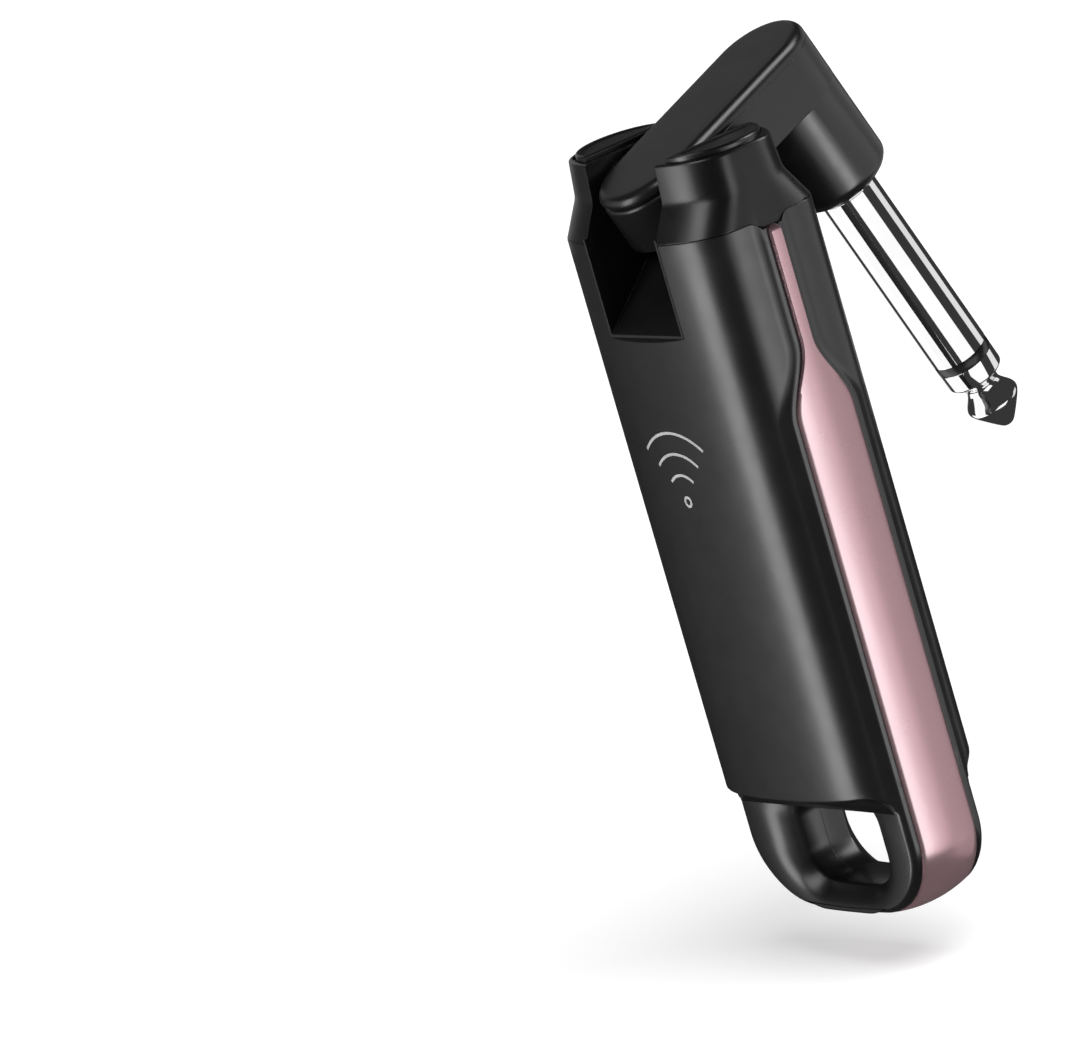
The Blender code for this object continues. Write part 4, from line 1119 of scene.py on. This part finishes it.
def build_floor():
    """A plain pale floor, wide enough to fill the view, that glows a little.

    It casts no shadow and the chrome doesn't reflect it.  Its sizes are in metres.
    """
    reach = 3.0
    drop = 0.006
    glow = 0.59
    mesh = bpy.data.meshes.new("floor")
    mesh.from_pydata([(-reach, -reach, -drop), (reach, -reach, -drop), (reach, reach, -drop),
                      (-reach, reach, -drop)], [], [(0, 1, 2, 3)])
    floor = bpy.data.objects.new("floor", mesh)
    scene.collection.objects.link(floor)
    finish = surface("pale_floor", grey(0.47), grey(0.49), (0.8, 0.9), cloud=0.01,
                     grain=0.5, height=0.001)
    sweep = finish.node_tree.nodes["Principled BSDF"]
    sweep.inputs["Emission Color"].default_value = (1, 1, 1, 1)
    sweep.inputs["Emission Strength"].default_value = glow
    floor.data.materials.append(finish)
    floor.visible_glossy = False
    floor.visible_shadow = False
    return floor


MIDDLE_Z = 45.0            # the soft boxes aim at this height
CARD_SIZE = (18.5, 70.0)   # the white card before the front panel, seen by the chrome
CARD_X, CARD_Z = 6.75, 40.0
CARD_GAP = 1.2
SUN_FROM = (175, 54)       # azimuth and elevation of the floor's lamp
SUN_SPREAD = radians(44)


def aimed(location):
    """The turn that points a light from a place to the origin."""
    return (-Vector(location)).to_track_quat("-Z", "Y")


def soft_box(name, size_x, size_y, radiance, lit, tint=(1, 1, 1)):
    """An even rectangular light that only reaches the pieces of one collection."""
    data = bpy.data.lights.new(name, "AREA")
    data.shape = "RECTANGLE"
    data.size, data.size_y = size_x, size_y
    data.energy = radiance * pi * size_x * size_y
    data.color = tint
    light = bpy.data.objects.new(name, data)
    light.visible_camera = False
    light.light_linking.receiver_collection = lit
    scene.collection.objects.link(light)
    return light


def toward(azimuth, elevation):
    """The direction under given angles, in degrees."""
    a, e = radians(azimuth), radians(elevation)
    return Vector((cos(a) * cos(e), sin(a) * cos(e), sin(e)))


def panel_light(name, azimuth, elevation, wide, tall, radiance, lit, away=1.0,
                tint=(1, 1, 1)):
    """A soft box seen from the object under given angles, in degrees."""
    light = soft_box(name, 2 * away * tan(radians(wide) / 2),
                     2 * away * tan(radians(tall) / 2), radiance, lit, tint)
    light.location = toward(azimuth, elevation) * away
    light.rotation_mode = "QUATERNION"
    light.rotation_quaternion = aimed(light.location)
    light.location += Vector((0, 0, MIDDLE_Z * MM))


def group(name, pieces):
    made = bpy.data.collections.new(name)
    for piece in pieces:
        made.objects.link(piece)
    return made


def build_lights(floor):
    """Soft boxes for the housing, head, trim, arm and plug, and the floor's lamp.

    Each lights its own pieces only.  The ear caps count as housing.
    """
    shown = list(scene.objects)
    arms = [o for o in shown if o.name in ("swing_arm", "arm_lid")]
    trims = [o for o in shown if o.name == "side_trim"]
    heads = [o for o in shown if o.name == "clevis_head"]
    rest = [o for o in shown if o.type in ("MESH", "CURVE") and o is not floor
            and o not in CHROME + arms + trims + heads]
    housing, arm = group("lit_housing", rest), group("lit_arm", arms)
    trim, chrome = group("lit_trim", trims), group("lit_chrome", CHROME)
    head = group("lit_head", heads)

    # azimuth, elevation, width, height, radiance
    body = [
        (12, -10, 16, 56, 0.05), (28, -10, 16, 56, 0.17), (44, -10, 16, 56, 0.45),
        (57, -10, 12, 56, 0.75), (78, -10, 24, 60, 6.5), (77, 50, 24, 40, 4.0),
        (98, -10, 14, 56, 0.45), (137, -10, 62, 56, 0.1), (178, -10, 14, 56, 1.4),
        (198, -10, 24, 40, 3.9), (238, -8, 54, 60, 0.95), (250, 28, 22, 36, 6.0),
        (345, 12, 30, 40, 0.4),
    ]
    ears = [
        (12, -10, 16, 56, 0.05), (28, -10, 16, 56, 0.2), (44, -10, 16, 56, 0.6),
        (69, -10, 20, 60, 5.6), (84, 50, 24, 40, 4.2), (183, -10, 20, 50, 2.6),
        (213, -10, 24, 50, 0.6), (236, -10, 20, 50, 1.5), (250, 28, 22, 36, 6.0),
        (345, 12, 30, 40, 0.4),
    ]
    glare = [(186, -10, 24, 60, 2.0), (8, 0, 24, 60, 2.0)]
    metal = [
        (206, -10, 14, 60, 0.9), (224, -10, 18, 60, 0.4),
        (28, 0, 14, 60, 0.9), (46, 0, 18, 60, 0.4), (250, -20, 34, 60, 0.34),
    ]
    swing = [
        (27, 8, 20, 30, 0.3), (48, 8, 20, 30, 0.8), (78, 5, 22, 40, 6.0),
        (160, -32, 20, 30, 1.5), (182, -26, 18, 30, 8.5), (228, -8, 70, 60, 0.95),
        (285, -8, 40, 60, 0.35), (345, 30, 50, 40, 0.22), (190, 64, 70, 30, 6.5),
    ]
    plug = [
        (62, -40, 84, 46, 1.1), (180, -28, 50, 44, 1.1), (256, -4, 28, 44, 0.8),
        (332, -8, 26, 44, 0.6),
    ]
    for word, strips, lit, tint in (
            ("housing", body, housing, (1, 1, 1)), ("head", ears, head, (1, 1, 1)),
            ("glare", glare, trim, (0.94, 1.16, 1.13)), ("trim", metal, trim, (1, 1, 1)),
            ("arm", swing, arm, (1, 1, 1)), ("plug", plug, chrome, (1, 1, 1))):
        for i, strip in enumerate(strips):
            panel_light(f"{word}_strip_{i}", *strip, lit=lit, tint=tint)
    key = bpy.data.lights.new("overhead", "SUN")
    key.energy, key.angle = 4.6, SUN_SPREAD
    sun = bpy.data.objects.new("overhead", key)
    sun.rotation_mode = "QUATERNION"
    sun.rotation_quaternion = aimed(toward(*SUN_FROM))
    sun.light_linking.receiver_collection = group("lit_floor", [floor])
    scene.collection.objects.link(sun)
    card = soft_box("plug_card", CARD_SIZE[0] * MM, CARD_SIZE[1] * MM, 1.1, chrome)
    card.location = Vector((CARD_X, -(PANEL_Y + CARD_GAP), CARD_Z)) * MM
    card.rotation_euler = (radians(-90), 0, 0)


def build_world():
    """A dim world for the light, and a white one that only the camera sees."""
    world = bpy.data.worlds.new("studio")
    world.use_nodes = True
    tree = world.node_tree
    back = tree.nodes["Background"]
    back.inputs["Color"].default_value = (0.04, 0.04, 0.04, 1)
    back.inputs["Strength"].default_value = 1.0
    seen = add_node(tree, "ShaderNodeBackground", Color=(1, 1, 1, 1))
    path = tree.nodes.new("ShaderNodeLightPath")
    mix = tree.nodes.new("ShaderNodeMixShader")
    tree.links.new(path.outputs["Is Camera Ray"], mix.inputs["Fac"])
    tree.links.new(back.outputs["Background"], mix.inputs[1])
    tree.links.new(seen.outputs["Background"], mix.inputs[2])
    tree.links.new(mix.outputs["Shader"], tree.nodes["World Output"].inputs["Surface"])
    scene.world = world
    scene.view_settings.view_transform = "Standard"


build_camera()
build_object()
build_lights(build_floor())
build_world()
